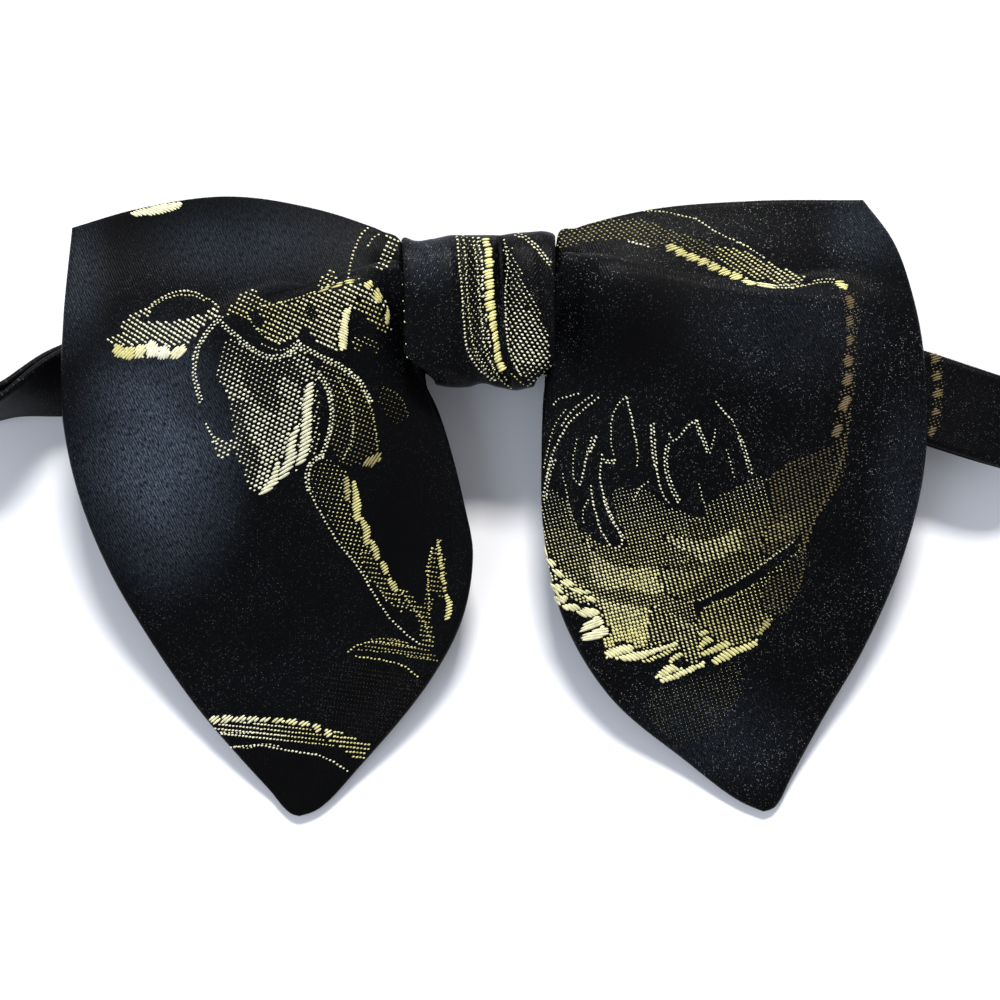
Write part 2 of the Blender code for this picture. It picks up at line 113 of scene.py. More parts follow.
# The clasp is the only part that isn't turned or bent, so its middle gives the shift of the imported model
SHIFT = np.mean(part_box("strap_clasp"), axis=0) - np.array([0.0, KNOT_UP, CLASP_MIDDLE])

# Camera straight above the bow. Places in its view are in thousandths of the view's width
VIEW_UNITS = 1000.0
LENS_MM = 80.0
SENSOR_MM = 36.0
CAMERA_PLACE = (0.0011 + SHIFT[0], 0.0023 + SHIFT[1], 0.4594)
CAMERA_REACH = (0.02, 20.0)
# Least length that a vector is divided by
LEAST_LENGTH = 1e-12

# Wings: steps of the mesh, with closer rows near the edges, given as shares of the way across
UPPER_STEPS = 30
TURN_STEPS = 12
RUN_STEPS = 4
LOWER_STEPS = 112
THROAT_STEPS = 6
ALONG_STEPS = 128
EDGE_STEPS = (0.0, 0.0012, 0.0032, 0.0062)
DOWN_INSET = 0.011
ALONG_INSET = 0.008
ALONG_EASE = 1.25
# Wings: bands over which the relief rises from the edges and from the throat, small gathers at the knot,
# the pleat's least turn and overlap, how far down its height fades, and the thinner padding at the knot
EDGE_BAND = 0.12
RELIEF_START = 0.20
GATHERS = 3
GATHER_HEIGHT = 0.0007
GATHER_REACH = 0.22
LEAST_TURN = 0.01
LEAST_OVERLAP = 0.27
CREST_PROBE = 0.02
PLEAT_FADE = 0.92
PADDING_AT_KNOT = 0.80
PADDING_GAIN = 0.20
PADDING_REACH = 0.30
# Round folded edges: how far in the full thickness is reached
WING_RIM = 0.0011
KNOT_RIM = 0.0008
STRAP_RIM = 0.0007

# Knot: steps of the mesh and roundness of its section in front and behind
KNOT_STEPS = 90
KNOT_FIELD = 0.955
KNOT_LIP_STEPS = (0.978, 0.992, 1.0)
KNOT_ROUND_STEPS = 168
KNOT_FRONT_POWER = 2.8
KNOT_BACK_POWER = 4.5
CREASE_START = 0.05
CREASE_BLEND = 0.5

# Strap: steps of the mesh from its ends and from its middle line, and the ridge of its hems
STRAP_STEPS = 560
STRAP_END_STEPS = (0.0, 0.0003)
STRAP_END_INSET = 0.0008
STRAP_SIDE_STEPS = (0.15, 0.3, 0.40, 0.44, 0.47, 0.492, 0.5)
STRAP_PROBE = 0.01
STRAP_FLAT_SHARE = 0.86
STRAP_HEM_SHARE = 0.14
STRAP_HEM_INSET = 0.0011
STRAP_HEM_REACH = 0.0007

# Clasp: steps of the mesh, roundness of its corners, lips, waist and grip ribs
CLASP_OUTER_STEPS = 121
CLASP_SLOT_STEPS = 25
CLASP_ROUND_STEPS = 96
CLASP_OUTER_POWER = 0.30
CLASP_SLOT_POWER = 0.22
CLASP_LIP_RADIUS = 0.0007
CLASP_OUTER_LIP = 0.0006
CLASP_SLOT_LIP = 0.0004
CLASP_WAIST_DEPTH = 0.00022
CLASP_WAIST_END = 0.86
CLASP_WAIST_BLEND = 0.05
CLASP_RIB_HEIGHT = 0.00022
CLASP_RIB_PITCH = 0.0018
CLASP_RIB_SHARPNESS = 8
CLASP_RIBS_END = 0.62
CLASP_SHARP_ANGLE = math.radians(50)

# Brocade: a thousandth of the view's width on the satin, at the satin's distance from the camera
THOUSANDTH = 0.0002
SATIN_DISTANCE = 0.4444
# Brocade: steps between a drawing's points, then spacings and small differences in thousandths of the
# view's width, and spreads as shares
LINE_STEPS = 8
LINE_PROBE = 1.0
LINE_END_NUDGE = 1e-9
ROW_STEP = 3.9
LANE_GAP = 2.8
DOT_JITTER = 0.14
DOT_SPREAD = (0.88, 1.12)
ROW_JITTER = 0.25
ROW_SPREAD = (0.72, 1.12)
PATCH_START = 0.4
PATCH_JITTER = 0.1
PATCH_SLIDE = 0.4
PATCH_OVERHANG = (0.6, 2.2)
LEAST_FLOAT = 2.2
STACK_SLIDE = 0.5
STACK_SPREAD = (0.88, 1.12)
LEAST_CROSSING = 0.45
FLOAT_MARGIN = (0.6, 0.8)
# Brocade: no thread is laid on a face that is turned away further than LEAST_FACING, and the middle of each
# is raised by THREAD_LIFT of half its height
LEAST_FACING = 0.22
THREAD_LIFT = 0.25
THREAD_SIDES = 6
# Kinds of thread: name, share of the thread height, rings of each grain
THREAD_KINDS = (("dots", 0.7, 3), ("floats", 1.0, 6))
# Satin pieces that carry the brocade
CARRIERS = {
    "left_wing": "left_wing_satin",
    "right_wing": "right_wing_satin",
    "knot": "knot_satin",
    "strap": "strap_satin_band",
}

# Satin: UV units in a metre of cloth, slant of the twill, and period of a Wave texture whose scale is 1
UV_PER_METRE = 5.0
TWILL_ANGLE = math.radians(-24)
WAVE_PERIOD = 0.314
# Satin: spans that steer its look, each from low and high to what they become, then its shine and relief
SATIN_RIB_SPAN = (0.0, 1.0, 0.25, 1.0)
SATIN_THREAD_SPAN = (0.34, 0.68, 0.0, 1.0)
CLOUD_SPAN = (0.3, 0.7, 0.6, 1.2)
PATCHY_SPAN = (0.38, 0.62, 0.25, 1.0)
FACING_SPAN = (0.15, 0.45, 0.0, 1.0)
GLINT_SPAN = (0.36, 0.14, 0.0, 1.0)
SATIN_ROUGHNESS = (0.3, 0.7, 0.48, 0.36)
SATIN_SPECULAR = 0.055
SATIN_RELIEF = (0.55, 0.00012)
# Satin: shares of the painted glints, fine bright points of light put into its colour, and of the bloom on
# each piece
PAINTED_GLINTS = {"left_wing": 0.18, "right_wing": 0.50, "knot": 0.44, "strap": 0.22}
BLOOM = {"left_wing": 1.0, "right_wing": 1.0, "knot": 1.0, "strap": 0.7}
# Colour of the painted glints
PAINTED_GLINT_COLOUR = (0.62, 0.62, 0.60)
# Soft patches of painted sheen on the satin, where its colour is lightened towards a bluish highlight: centre
# and radii in metres, and strength
PAINTED_SHEEN = {
    "left_wing": (
        ((-0.0682, 0.0110, 0.0), (0.0215, 0.0330, 0.1), 1.0),
        ((-0.0500, 0.0530, 0.0), (0.0290, 0.0120, 0.1), 0.30),
        ((-0.0850, 0.0450, 0.0), (0.0100, 0.0190, 0.1), 0.36),
    ),
    "right_wing": (
        ((0.0736, 0.0561, 0.0), (0.0140, 0.0110, 0.1), 0.34),
        ((0.0549, 0.0354, 0.0), (0.0260, 0.0150, 0.1), 0.16),
        ((0.0425, -0.0463, 0.0), (0.0260, 0.0160, 0.1), 0.14),
        ((0.0810, 0.0020, 0.0), (0.0100, 0.0300, 0.1), 0.16),
    ),
    "knot": (((-0.0144, 0.0500, 0.0), (0.0075, 0.0100, 0.1), 0.26),),
}
# Soft patches of painted shade on duller satin: darker colour with less bloom and fewer painted glints, and a
# rougher face. Centre and radii in metres, and strength
DULL_AND_PAINTED_SHADE = {
    "left_wing": (
        ((-0.0200, -0.0020, 0.0), (0.0190, 0.0420, 0.1), 0.9),
        ((-0.0403, -0.0557, 0.0), (0.0230, 0.0190, 0.1), 0.9),
        ((-0.0620, 0.0585, 0.0), (0.0400, 0.0150, 0.1), 0.9),
    ),
    "right_wing": (((0.0270, 0.0330, 0.0), (0.0210, 0.0190, 0.1), 1.0),),
}
DULL_ROUGHNESS = 0.36
# Gold thread: tone at which it is plain gold, texture scales, spans, sheen and relief
GOLD_TONE = 0.35
PLY_SCALE = 1500.0
SHADE_SCALE = 900.0
SHADE_SPAN = (0.3, 0.7, 0.66, 1.08)
THREAD_ROUGHNESS = (0.0, 1.0, 0.55, 0.36)
THREAD_SHEEN = 0.06
THREAD_RELIEF = (0.4, 0.00008)
# Clasp and floor: texture scales, spans, worn colours and relief
WEAR_SCALE = 160.0
WEAR_SPAN = (0.52, 0.72, 0.0, 0.7)
CLASP_GRAIN_SCALE = 1400.0
CLASP_ROUGHNESS = (0.3, 0.7, 0.34, 0.52)
CLASP_RELIEF = (0.3, 0.00006)
WORN_CLASP_COLOUR = (0.045, 0.045, 0.048)
FLOOR_GRAIN_SCALE = 60.0
FLOOR_GRAIN_SPAN = (0.3, 0.7, 0.0, 0.5)
FLOOR_GRAIN_SHADE = 0.985
FLOOR_ROUGHNESS = 0.75
# Sockets of a Mix node for colours: share, first and second colour, and its result
MIX_INPUTS = (0, 6, 7)
MIX_RESULT = 2

# Stage: half the floor's side, height of the lights' aim, and the world's glow near and above the horizon
FLOOR_HALF = 4.0
AIM_HEIGHT = 0.01
GLOW_COLOUR = (0.90, 0.92, 1.0, 1.0)
GLOW_RISE = (0.05, 0.60)
GLOW_STRENGTH = (1.28, 0.46)
# Lights: name, place, width and height, power in watts, colour
LIGHTS = (
    ("window", (0.05, 1.00, 0.90), (0.32, 0.18), 23.5, (1.0, 0.99, 0.97)),
    ("sky", (-0.55, -0.20, 1.00), (0.7, 0.5), 2.4, (0.70, 0.84, 1.0)),
)

# Outlines of the wings. along runs from inside the knot (0) to the outer edge (1), and down from the top
# edge (0) to the inner edge (1). out is the share of the way from the knot to the bow's end, up the share
# of half the bow's height and rise the share of the way from the floor to the knot.
# Columns of top and inner: along, out, up, rise. Columns of outer: down, out, up, rise.
# Columns of crest, the pleat's fold: along, down, share of the full turn, overlap in pleat radii.
# Columns of relief, its swells: along, down, height as a share of half the bow's height, reach along and down
LEFT_WING = {
    "name": "left_wing",
    "side": -1,
    "top": (
        (0.08, 0.013, 0.861, 1.00),
        (0.12, 0.062, 0.888, 1.00),
        (0.20, 0.123, 0.914, 1.00),
        (0.36, 0.260, 0.960, 0.98),
        (0.64, 0.553, 1.000, 0.94),
        (0.84, 0.793, 0.958, 0.94),
        (1.00, 0.970, 0.901, 0.95),
    ),
    "inner": (
        (0.10, -0.064, 0.408, 1.00),
        (0.15, -0.075, 0.376, 1.00),
        (0.20, -0.091, 0.341, 1.00),
        (0.28, -0.119, 0.259, 0.98),
        (0.42, -0.177, 0.014, 0.86),
        (0.50, -0.200, -0.130, 0.76),
        (0.58, -0.182, -0.294, 0.64),
        (0.72, -0.071, -0.550, 0.38),
        (0.86, 0.138, -0.830, 0.12),
        (0.965, 0.279, -0.984, 0.01),
        (1.00, 0.325, -1.001, 0.00),
    ),
    "outer": (
        (0.00, 0.970, 0.901, 0.95),
        (0.148, 0.986, 0.588, 1.20),
        (0.282, 0.990, 0.305, 1.16),
        (0.41, 0.946, 0.037, 0.97),
        (0.526, 0.868, -0.194, 0.74),
        (0.636, 0.768, -0.399, 0.50),
        (0.765, 0.632, -0.630, 0.27),
        (0.902, 0.463, -0.854, 0.09),
        (0.940, 0.412, -0.918, 0.03),
        (0.974, 0.370, -0.975, 0.01),
        (0.988, 0.350, -0.993, 0.00),
        (1.00, 0.325, -1.001, 0.00),
    ),
    "crest": (
        (0.00, 0.20, 1.00, 2.00),
        (0.06, 0.20, 1.00, 2.27),
        (0.16, 0.25, 1.00, 2.00),
        (0.25, 0.275, 0.95, 2.13),
        (0.40, 0.275, 0.72, 1.33),
        (0.53, 0.255, 0.38, 0.53),
        (0.66, 0.24, 0.08, 0.00),
        (0.80, 0.22, 0.00, 0.00),
        (1.00, 0.20, 0.00, 0.00),
    ),
    "relief": (
        (0.24, 0.42, 0.048, 0.16, 0.18),
        (0.55, 0.50, 0.057, 0.30, 0.30),
        (0.16, 0.78, -0.016, 0.10, 0.14),
    ),
}

RIGHT_WING = {
    "name": "right_wing",
    "side": 1,
    "top": (
        (0.075, 0.005, 0.874, 1.00),
        (0.12, 0.055, 0.899, 1.00),
        (0.20, 0.119, 0.922, 1.00),
        (0.36, 0.254, 0.958, 0.98),
        (0.66, 0.529, 0.987, 0.94),
        (1.00, 0.827, 0.990, 0.95),
    ),
    "inner": (
        (0.10, -0.030, 0.408, 1.00),
        (0.15, -0.033, 0.370, 1.00),
        (0.20, -0.035, 0.329, 0.99),
        (0.30, -0.038, 0.195, 0.96),
        (0.44, -0.032, -0.065, 0.84),
        (0.58, 0.022, -0.346, 0.62),
        (0.72, 0.150, -0.599, 0.36),
        (0.87, 0.354, -0.807, 0.12),
        (0.97, 0.531, -0.961, 0.01),
        (1.00, 0.582, -0.986, 0.00),
    ),
    "outer": (
        (0.00, 0.827, 0.990, 0.95),
        (0.076, 0.906, 0.858, 1.02),
        (0.17, 0.960, 0.669, 1.08),
        (0.283, 0.991, 0.432, 1.10),
        (0.424, 0.992, 0.132, 0.95),
        (0.562, 0.943, -0.156, 0.68),
        (0.707, 0.849, -0.443, 0.40),
        (0.841, 0.735, -0.694, 0.18),
        (0.948, 0.651, -0.893, 0.03),
        (0.973, 0.627, -0.952, 0.01),
        (0.988, 0.608, -0.977, 0.00),
        (1.00, 0.582, -0.986, 0.00),
    ),
    "crest": (
        (0.00, 0.20, 1.00, 2.00),
        (0.06, 0.20, 1.00, 2.40),
        (0.16, 0.22, 1.00, 2.80),
        (0.26, 0.24, 1.00, 2.93),
        (0.48, 0.23, 0.92, 2.40),
        (0.63, 0.205, 0.74, 1.47),
        (0.80, 0.175, 0.32, 0.40),
        (0.92, 0.165, 0.06, 0.00),
        (1.00, 0.16, 0.00, 0.00),
    ),
    "relief": (
        (0.22, 0.36, 0.051, 0.16, 0.16),
        (0.55, 0.50, 0.057, 0.30, 0.30),
        (0.15, 0.70, -0.019, 0.10, 0.14),
    ),
}

# Sections of the knot from its left side (-1) to its right side (1). Columns: across, and top, bottom and
# front as shares of half its height and half its depth
KNOT_SECTIONS = (
    (-1.00, 1.00, -0.95, 0.80),
    (-0.86, 0.94, -0.97, 0.88),
    (-0.62, 0.96, -0.99, 0.95),
    (-0.36, 1.01, -0.99, 0.98),
    (-0.20, 1.01, -0.98, 0.90),
    (0.00, 1.01, -0.94, 1.00),
    (0.16, 1.01, -0.95, 0.98),
    (0.27, 1.01, -0.98, 0.80),
    (0.40, 1.03, -1.00, 0.95),
    (0.65, 1.05, -1.03, 1.00),
    (0.86, 1.06, -1.00, 0.93),
    (1.00, 1.02, -0.98, 0.84),
)
# Upright creases on the knot's front. Columns: across at the top and at the bottom, depth, reach across
KNOT_CREASES = (
    (0.25, 0.44, 0.0011, 0.055),
    (-0.24, -0.06, 0.0005, 0.11),
    (0.80, 0.92, 0.0004, 0.09),
    (-0.78, -0.84, 0.0004, 0.12),
)

# Neck strap from the clasp round the right side, through the knot, round the left side and back. Columns:
# across in half bow widths, past as a share of the reach beyond the bow, level from the floor (0) to the
# knot (1), lean in degrees, aside in strap widths
STRAP_RUN = (
    (0.34, 0.00, 0.00, 0.0, 0.00),
    (0.65, 0.00, 0.00, 0.0, 0.02),
    (1.00, 0.30, 0.00, 0.0, 0.04),
    (1.00, 0.72, 0.05, 0.0, 0.04),
    (1.00, 0.94, 0.24, 0.0, 0.03),
    (1.00, 1.00, 0.50, 0.0, 0.00),
    (1.00, 0.93, 0.76, 0.0, 0.00),
    (1.00, 0.70, 0.93, 0.0, 0.00),
    (1.00, 0.20, 0.98, 0.0, 0.00),
    (0.65, 0.00, 1.00, 0.0, 0.00),
    (0.20, 0.00, 1.00, 0.0, 0.00),
    (-0.24, 0.00, 1.00, 0.0, 0.00),
    (-0.48, 0.00, 0.91, 5.0, 0.00),
    (-0.74, 0.00, 0.60, 18.0, 0.00),
    (-1.00, 0.00, 0.20, 46.0, 0.00),
    (-1.00, 0.56, 0.20, 82.0, 0.00),
    (-1.00, 0.86, 0.18, 84.0, 0.02),
    (-1.00, 1.00, 0.14, 84.0, 0.09),
    (-1.00, 0.86, 0.10, 84.0, 0.16),
    (-1.00, 0.56, 0.08, 82.0, 0.14),
    (-1.00, 0.00, 0.01, 46.0, 0.08),
    (-0.74, 0.00, 0.03, 18.0, 0.00),
    (-0.52, 0.00, 0.00, 2.0, 0.00),
    (-0.34, 0.00, 0.00, 0.0, 0.00),
)
# Drop of the strap below the knot's middle. Columns: across in half bow widths, drop in half bow heights
STRAP_DROP = (
    (-1.30, 0.355),
    (-1.14, 0.294),
    (-1.00, 0.222),
    (-0.60, 0.085),
    (-0.10, 0.00),
    (0.10, 0.00),
    (0.60, 0.100),
    (1.00, 0.264),
    (1.17, 0.340),
    (1.30, 0.392),
)

# Brocade. Places are in thousandths of the view's width, across to the right and down from the top.
# Tone runs from cream (0) through gold to brown gold (1). In shaded parts the browner tone is partly painted
# shade.
# Lattices of the woven dots: two directions in degrees with their pitches, and the dots' lean and stretch
LATTICES = {
    "leaf": (33, 4.0, 112, 4.7, 34, 1.15),
    "petal": (28, 4.5, 105, 4.8, -24, 1.1),
    "side petal": (20, 4.0, 107, 4.6, -24, 1.0),
    "crest": (25, 4.2, 114, 4.6, 26, 1.1),
    "stem": (9, 4.3, 107, 4.2, -24, 1.0),
    "rows": (8, 3.3, 98, 4.6, -16, 1.15),
    "arc": (6, 3.5, 96, 4.5, -14, 1.15),
    "knot left": (58, 4.1, -46, 4.8, -44, 1.0),
    "knot right": (60, 4.3, -41, 4.4, 24, 1.05),
    "band": (34, 3.7, 124, 4.0, 4, 1.1),
    "plume": (-13, 3.6, 76, 3.5, 38, 1.05),
    "plume right": (-15, 4.4, 75, 3.5, 40, 1.1),
    "sweep": (-22, 4.6, 80, 3.5, 14, 1.15),
    "stripe": (-22, 3.8, 72, 3.3, -16, 1.2),
}
# Fields of dots, each laid over the ones before it: lattice, dot size at the start and the end of the
# fade, tone at both, the fade's start and end, and the outline. Size 0 clears the field.
FIELDS = (
    # leaf beside the flower
    ("leaf", (0.86, 1.12), (0.22, 0.02), (112, 315, 150, 340),
     ((104, 334), (112, 336), (119, 333), (124, 322), (132, 314), (150, 309), (152, 312), (140, 319),
     (160, 321), (184, 319), (206, 313), (214, 309), (218, 312), (206, 322), (192, 340), (184, 345),
     (176, 347), (160, 347), (146, 342), (136, 346), (122, 349), (112, 346))),
    # bud above the petals
    ("crest", (0.9, 0.9), (0.2, 0.2), (226, 300, 268, 300),
     ((222, 316), (234, 303), (243, 292), (253, 288), (262, 297), (268, 306), (252, 305), (238, 314))),
    # upper petals
    ("crest", (0.86, 1.06), (0.35, 0.1), (262, 296, 322, 340),
     ((236, 314), (250, 303), (270, 301), (290, 302), (302, 299), (320, 292), (346, 286), (368, 283),
     (382, 296), (392, 316), (390, 332), (376, 328), (366, 318), (356, 310), (350, 314), (348, 332),
     (344, 350), (336, 352), (322, 345), (312, 336), (303, 328), (296, 338), (284, 344), (272, 343),
     (262, 334), (254, 324), (244, 318))),
    ("crest", (0.0, 0.0), (0.5, 0.5), (252, 312, 262, 316),
     ((251, 313), (257, 312), (262, 318), (263, 326), (256, 325), (250, 319))),
    ("crest", (0.42, 0.42), (0.5, 0.5), (306, 302, 316, 320),
     ((309, 305), (315, 305), (317, 312), (312, 321), (308, 314))),
    ("crest", (0.95, 0.85), (0.35, 0.55), (360, 300, 392, 330),
     ((356, 300), (372, 304), (384, 310), (392, 322), (390, 332), (376, 328), (366, 318), (356, 310))),
    ("crest", (0.7, 0.4), (0.3, 0.8), (352, 338, 382, 356),
     ((352, 348), (357, 336), (366, 338), (382, 350), (380, 354), (366, 344), (358, 352))),
    # large lower petal: dim ground, then its brighter parts
    ("petal", (0.66, 0.72), (0.05, 0.1), (262, 362, 258, 420),
     ((226, 338), (242, 345), (262, 356), (286, 358), (299, 345), (308, 354), (316, 376), (319, 402),
     (320, 430), (316, 452), (302, 466), (294, 474), (280, 480), (268, 490), (257, 495), (249, 484),
     (242, 468), (238, 448), (231, 424), (230, 400), (219, 382), (216, 366), (222, 352))),
    ("petal", (0.8, 1.16), (0.0, 0.0), (220, 372, 238, 392),
     ((222, 372), (228, 364), (236, 358), (241, 370), (244, 384), (252, 398), (250, 410), (244, 404),
     (236, 400), (228, 402), (226, 390), (220, 380))),
    ("petal", (1.12, 1.24), (0.0, 0.0), (270, 400, 285, 450),
     ((245, 408), (252, 402), (262, 408), (276, 412), (280, 396), (276, 382), (288, 378), (298, 384),
     (302, 400), (298, 424), (290, 440), (284, 458), (276, 478), (266, 488), (258, 494), (252, 484),
     (260, 470), (258, 452), (252, 440), (246, 428))),
    ("petal", (1.02, 1.02), (0.02, 0.02), (296, 350, 306, 380),
     ((290, 356), (296, 346), (302, 348), (308, 358), (315, 376), (312, 384), (304, 378), (298, 366))),
    ("petal", (0.78, 0.86), (0.05, 0.05), (236, 450, 256, 495),
     ((234, 446), (240, 444), (248, 458), (254, 474), (252, 484), (262, 492), (257, 496), (249, 486),
     (242, 468))),
    # corner of the large petal
    ("petal", (1.0, 1.0), (0.05, 0.05), (212, 430, 235, 460),
     ((211, 432), (224, 440), (236, 442), (233, 452), (222, 461), (215, 448))),
    # petal beside it, in shade, with its browner tone as painted shade
    ("side petal", (0.6, 0.6), (0.22, 0.85), (334, 372, 372, 450),
     ((322, 362), (345, 368), (360, 383), (371, 405), (376, 430), (380, 452), (370, 466), (352, 466),
     (338, 461), (331, 440), (333, 410), (328, 386))),
    # stem
    ("stem", (0.42, 0.66), (0.3, 0.3), (318, 500, 345, 505),
     ((325, 459), (345, 470), (354, 482), (360, 505), (368, 530), (382, 560), (398, 588), (412, 606),
     (404, 612), (388, 602), (374, 586), (356, 566), (340, 540), (326, 512), (312, 490), (314, 467))),
    ("rows", (0.62, 0.7), (0.6, 0.5), (366, 556, 398, 600),
     ((362, 552), (376, 556), (386, 570), (396, 584), (402, 600), (392, 604), (378, 584), (366, 570))),
    ("rows", (0.6, 0.66), (0.5, 0.6), (408, 596, 430, 645),
     ((402, 588), (416, 600), (428, 612), (433, 632), (434, 648), (422, 645), (420, 626), (408, 608))),
    # blade beside the stem
    ("rows", (0.7, 0.6), (0.6, 0.75), (428, 560, 444, 590),
     ((433, 546), (439, 536), (443, 548), (446, 566), (447, 590), (441, 600), (434, 592), (430, 612),
     (426, 614), (425, 590), (427, 566))),
    # thin leaf
    ("rows", (0.56, 0.56), (0.6, 0.7), (350, 640, 430, 650),
     ((356, 650), (368, 644), (390, 640), (416, 645), (430, 650), (438, 661), (424, 662), (400, 654),
     (372, 650))),
    # arc at the tip
    ("arc", (0.86, 0.6), (0.05, 0.4), (255, 730, 325, 744),
     ((214, 726), (226, 723), (250, 721), (280, 723), (310, 729), (330, 735), (334, 748), (312, 744),
     (284, 741), (250, 740), (230, 738), (220, 733))),
    ("arc", (0.94, 0.86), (0.36, 0.5), (335, 737, 362, 752),
     ((326, 733), (344, 733), (356, 738), (370, 747), (367, 754), (360, 761), (348, 753), (338, 746),
     (328, 742))),
    # faint rows between the leaf and the arc, and below the plumes
    ("rows", (0.16, 0.14), (0.95, 1.0), (380, 664, 350, 740),
     ((332, 664), (380, 668), (404, 674), (424, 682), (404, 710), (376, 740), (340, 728), (312, 706),
     (316, 684))),
    ("plume right", (0.2, 0.15), (0.3, 0.45), (690, 684, 690, 740),
     ((648, 690), (672, 686), (706, 676), (738, 664), (742, 690), (724, 720), (694, 742), (664, 734),
     (646, 712))),
    # loop above the pleat
    ("crest", (0.95, 0.95), (0.15, 0.15), (376, 232, 396, 270),
     ((384, 230), (392, 232), (398, 240), (396, 254), (388, 268), (376, 271), (380, 258), (386, 246))),
    ("crest", (0.88, 0.88), (0.15, 0.15), (320, 268, 338, 286),
     ((318, 286), (324, 274), (329, 266), (334, 272), (339, 280), (330, 288))),
    # first stripe of the knot
    ("knot left", (0.44, 0.6), (0.3, 0.2), (460, 300, 484, 300),
     ((458, 233), (470, 233), (480, 236), (484, 262), (485, 292), (488, 320), (490, 342), (494, 362),
     (508, 382), (496, 383), (482, 374), (472, 356), (466, 322), (462, 290), (459, 262))),
    # second stripe of the knot
    ("knot right", (0.56, 0.74), (0.1, 0.1), (512, 250, 524, 300),
     ((502, 240), (508, 243), (516, 256), (524, 278), (534, 300), (543, 320), (549, 340), (551, 365),
     (548, 376), (540, 388), (526, 380), (514, 366), (508, 340), (505, 300), (505, 276), (505, 258))),
    ("knot right", (0.86, 1.04), (0.05, 0.05), (520, 310, 532, 352),
     ((506, 312), (518, 304), (530, 310), (541, 326), (547, 342), (549, 358), (544, 366), (530, 364),
     (514, 362), (509, 340))),
    # band along the top of the right wing
    ("band", (0.68, 0.64), (0.66, 0.74), (600, 230, 700, 250),
     ((556, 244), (558, 234), (572, 227), (590, 222), (612, 219), (635, 219), (652, 222), (668, 229),
     (690, 236), (706, 243), (722, 249), (728, 262), (708, 258), (694, 252), (680, 247), (664, 246),
     (640, 243), (620, 241), (600, 240), (585, 242), (570, 246), (560, 250))),
    ("band", (0.8, 1.0), (0.34, 0.22), (722, 256, 780, 276),
     ((716, 248), (738, 249), (752, 255), (764, 260), (778, 266), (792, 272), (807, 281), (806, 285),
     (780, 286), (764, 283), (748, 277), (736, 270), (722, 263))),
    # plumes: dim ground, then their brighter parts
    ("plume", (0.34, 0.64), (0.06, 0.28), (640, 484, 640, 535),
     ((541, 500), (545, 488), (556, 492), (566, 500), (572, 515), (580, 530), (590, 534), (596, 540),
     (608, 545), (620, 549), (626, 545), (622, 530), (616, 510), (612, 492), (618, 486), (628, 490),
     (640, 488), (650, 492), (660, 500), (668, 508), (678, 510), (690, 516), (700, 519), (704, 530),
     (704, 560), (704, 590), (694, 606), (697, 622), (702, 640), (704, 656), (690, 663), (680, 655),
     (668, 648), (650, 650), (630, 646), (612, 646), (606, 634), (602, 618), (588, 606), (570, 598),
     (556, 590), (546, 576), (542, 552))),
    ("plume", (0.66, 0.72), (0.22, 0.28), (600, 540, 600, 570),
     ((556, 540), (572, 545), (588, 540), (600, 556), (620, 566), (650, 560), (668, 556), (668, 620),
     (600, 620), (576, 590), (556, 566))),
    ("plume", (0.9, 1.02), (0.16, 0.26), (545, 560, 580, 598),
     ((541, 548), (547, 556), (558, 566), (574, 578), (590, 590), (600, 604), (588, 605), (570, 597),
     (556, 589), (546, 576))),
    ("plume", (0.94, 1.12), (0.18, 0.3), (592, 550, 640, 585),
     ((588, 536), (594, 550), (604, 561), (618, 567), (634, 569), (648, 566), (660, 571), (672, 579),
     (672, 590), (655, 594), (640, 590), (620, 588), (604, 590), (594, 582), (590, 566))),
    ("plume", (1.08, 1.3), (0.26, 0.34), (615, 600, 625, 640),
     ((596, 597), (612, 602), (632, 605), (652, 613), (652, 628), (648, 640), (640, 648), (622, 648),
     (607, 648), (603, 630), (600, 612))),
    ("plume right", (0.8, 0.96), (0.25, 0.3), (660, 600, 690, 660),
     ((654, 606), (664, 612), (680, 616), (692, 626), (697, 622), (702, 640), (704, 656), (690, 664),
     (680, 656), (668, 650), (652, 648), (650, 636))),
    # plumes: right of the hairs
    ("plume right", (0.42, 0.62), (0.1, 0.42), (720, 478, 740, 540),
     ((688, 560), (690, 520), (700, 519), (706, 506), (716, 497), (730, 490), (745, 482), (757, 476),
     (768, 480), (772, 505), (776, 530), (774, 556), (745, 576), (722, 589), (703, 600), (680, 600),
     (664, 590), (660, 566))),
    ("plume right", (1.0, 1.08), (0.22, 0.36), (700, 545, 745, 535),
     ((663, 537), (672, 545), (684, 549), (694, 556), (703, 563), (712, 561), (722, 557), (735, 551),
     (743, 545), (744, 531), (738, 529), (722, 537), (706, 540), (690, 540), (676, 536))),
    ("plume right", (0.8, 0.84), (0.52, 0.78), (742, 540, 772, 520),
     ((741, 552), (743, 530), (756, 518), (772, 508), (776, 530), (770, 546), (756, 553))),
    ("plume right", (0.92, 0.8), (0.26, 0.35), (668, 572, 690, 590),
     ((664, 568), (676, 570), (690, 572), (704, 566), (712, 568), (700, 582), (684, 592), (672, 596),
     (664, 590))),
    # plumes: the sweep up to the upright stripe
    ("stripe", (0.6, 0.64), (0.98, 0.94), (848, 300, 848, 410),
     ((838, 286), (849, 290), (857, 300), (857, 330), (857, 360), (856, 380), (853, 400), (848, 414),
     (836, 414), (839, 396), (842, 372), (845, 345), (845, 318), (843, 302))),
    ("stripe", (0.5, 0.5), (0.93, 0.93), (936, 360, 936, 430),
     ((929, 352), (941, 352), (943, 370), (943, 395), (941, 415), (938, 432), (930, 438), (927, 430),
     (931, 412), (932, 390), (931, 370))),
    ("side petal", (0.46, 0.4), (0.85, 0.95), (384, 390, 400, 420),
     ((380, 386), (392, 390), (403, 400), (408, 418), (398, 424), (386, 414), (378, 400))),
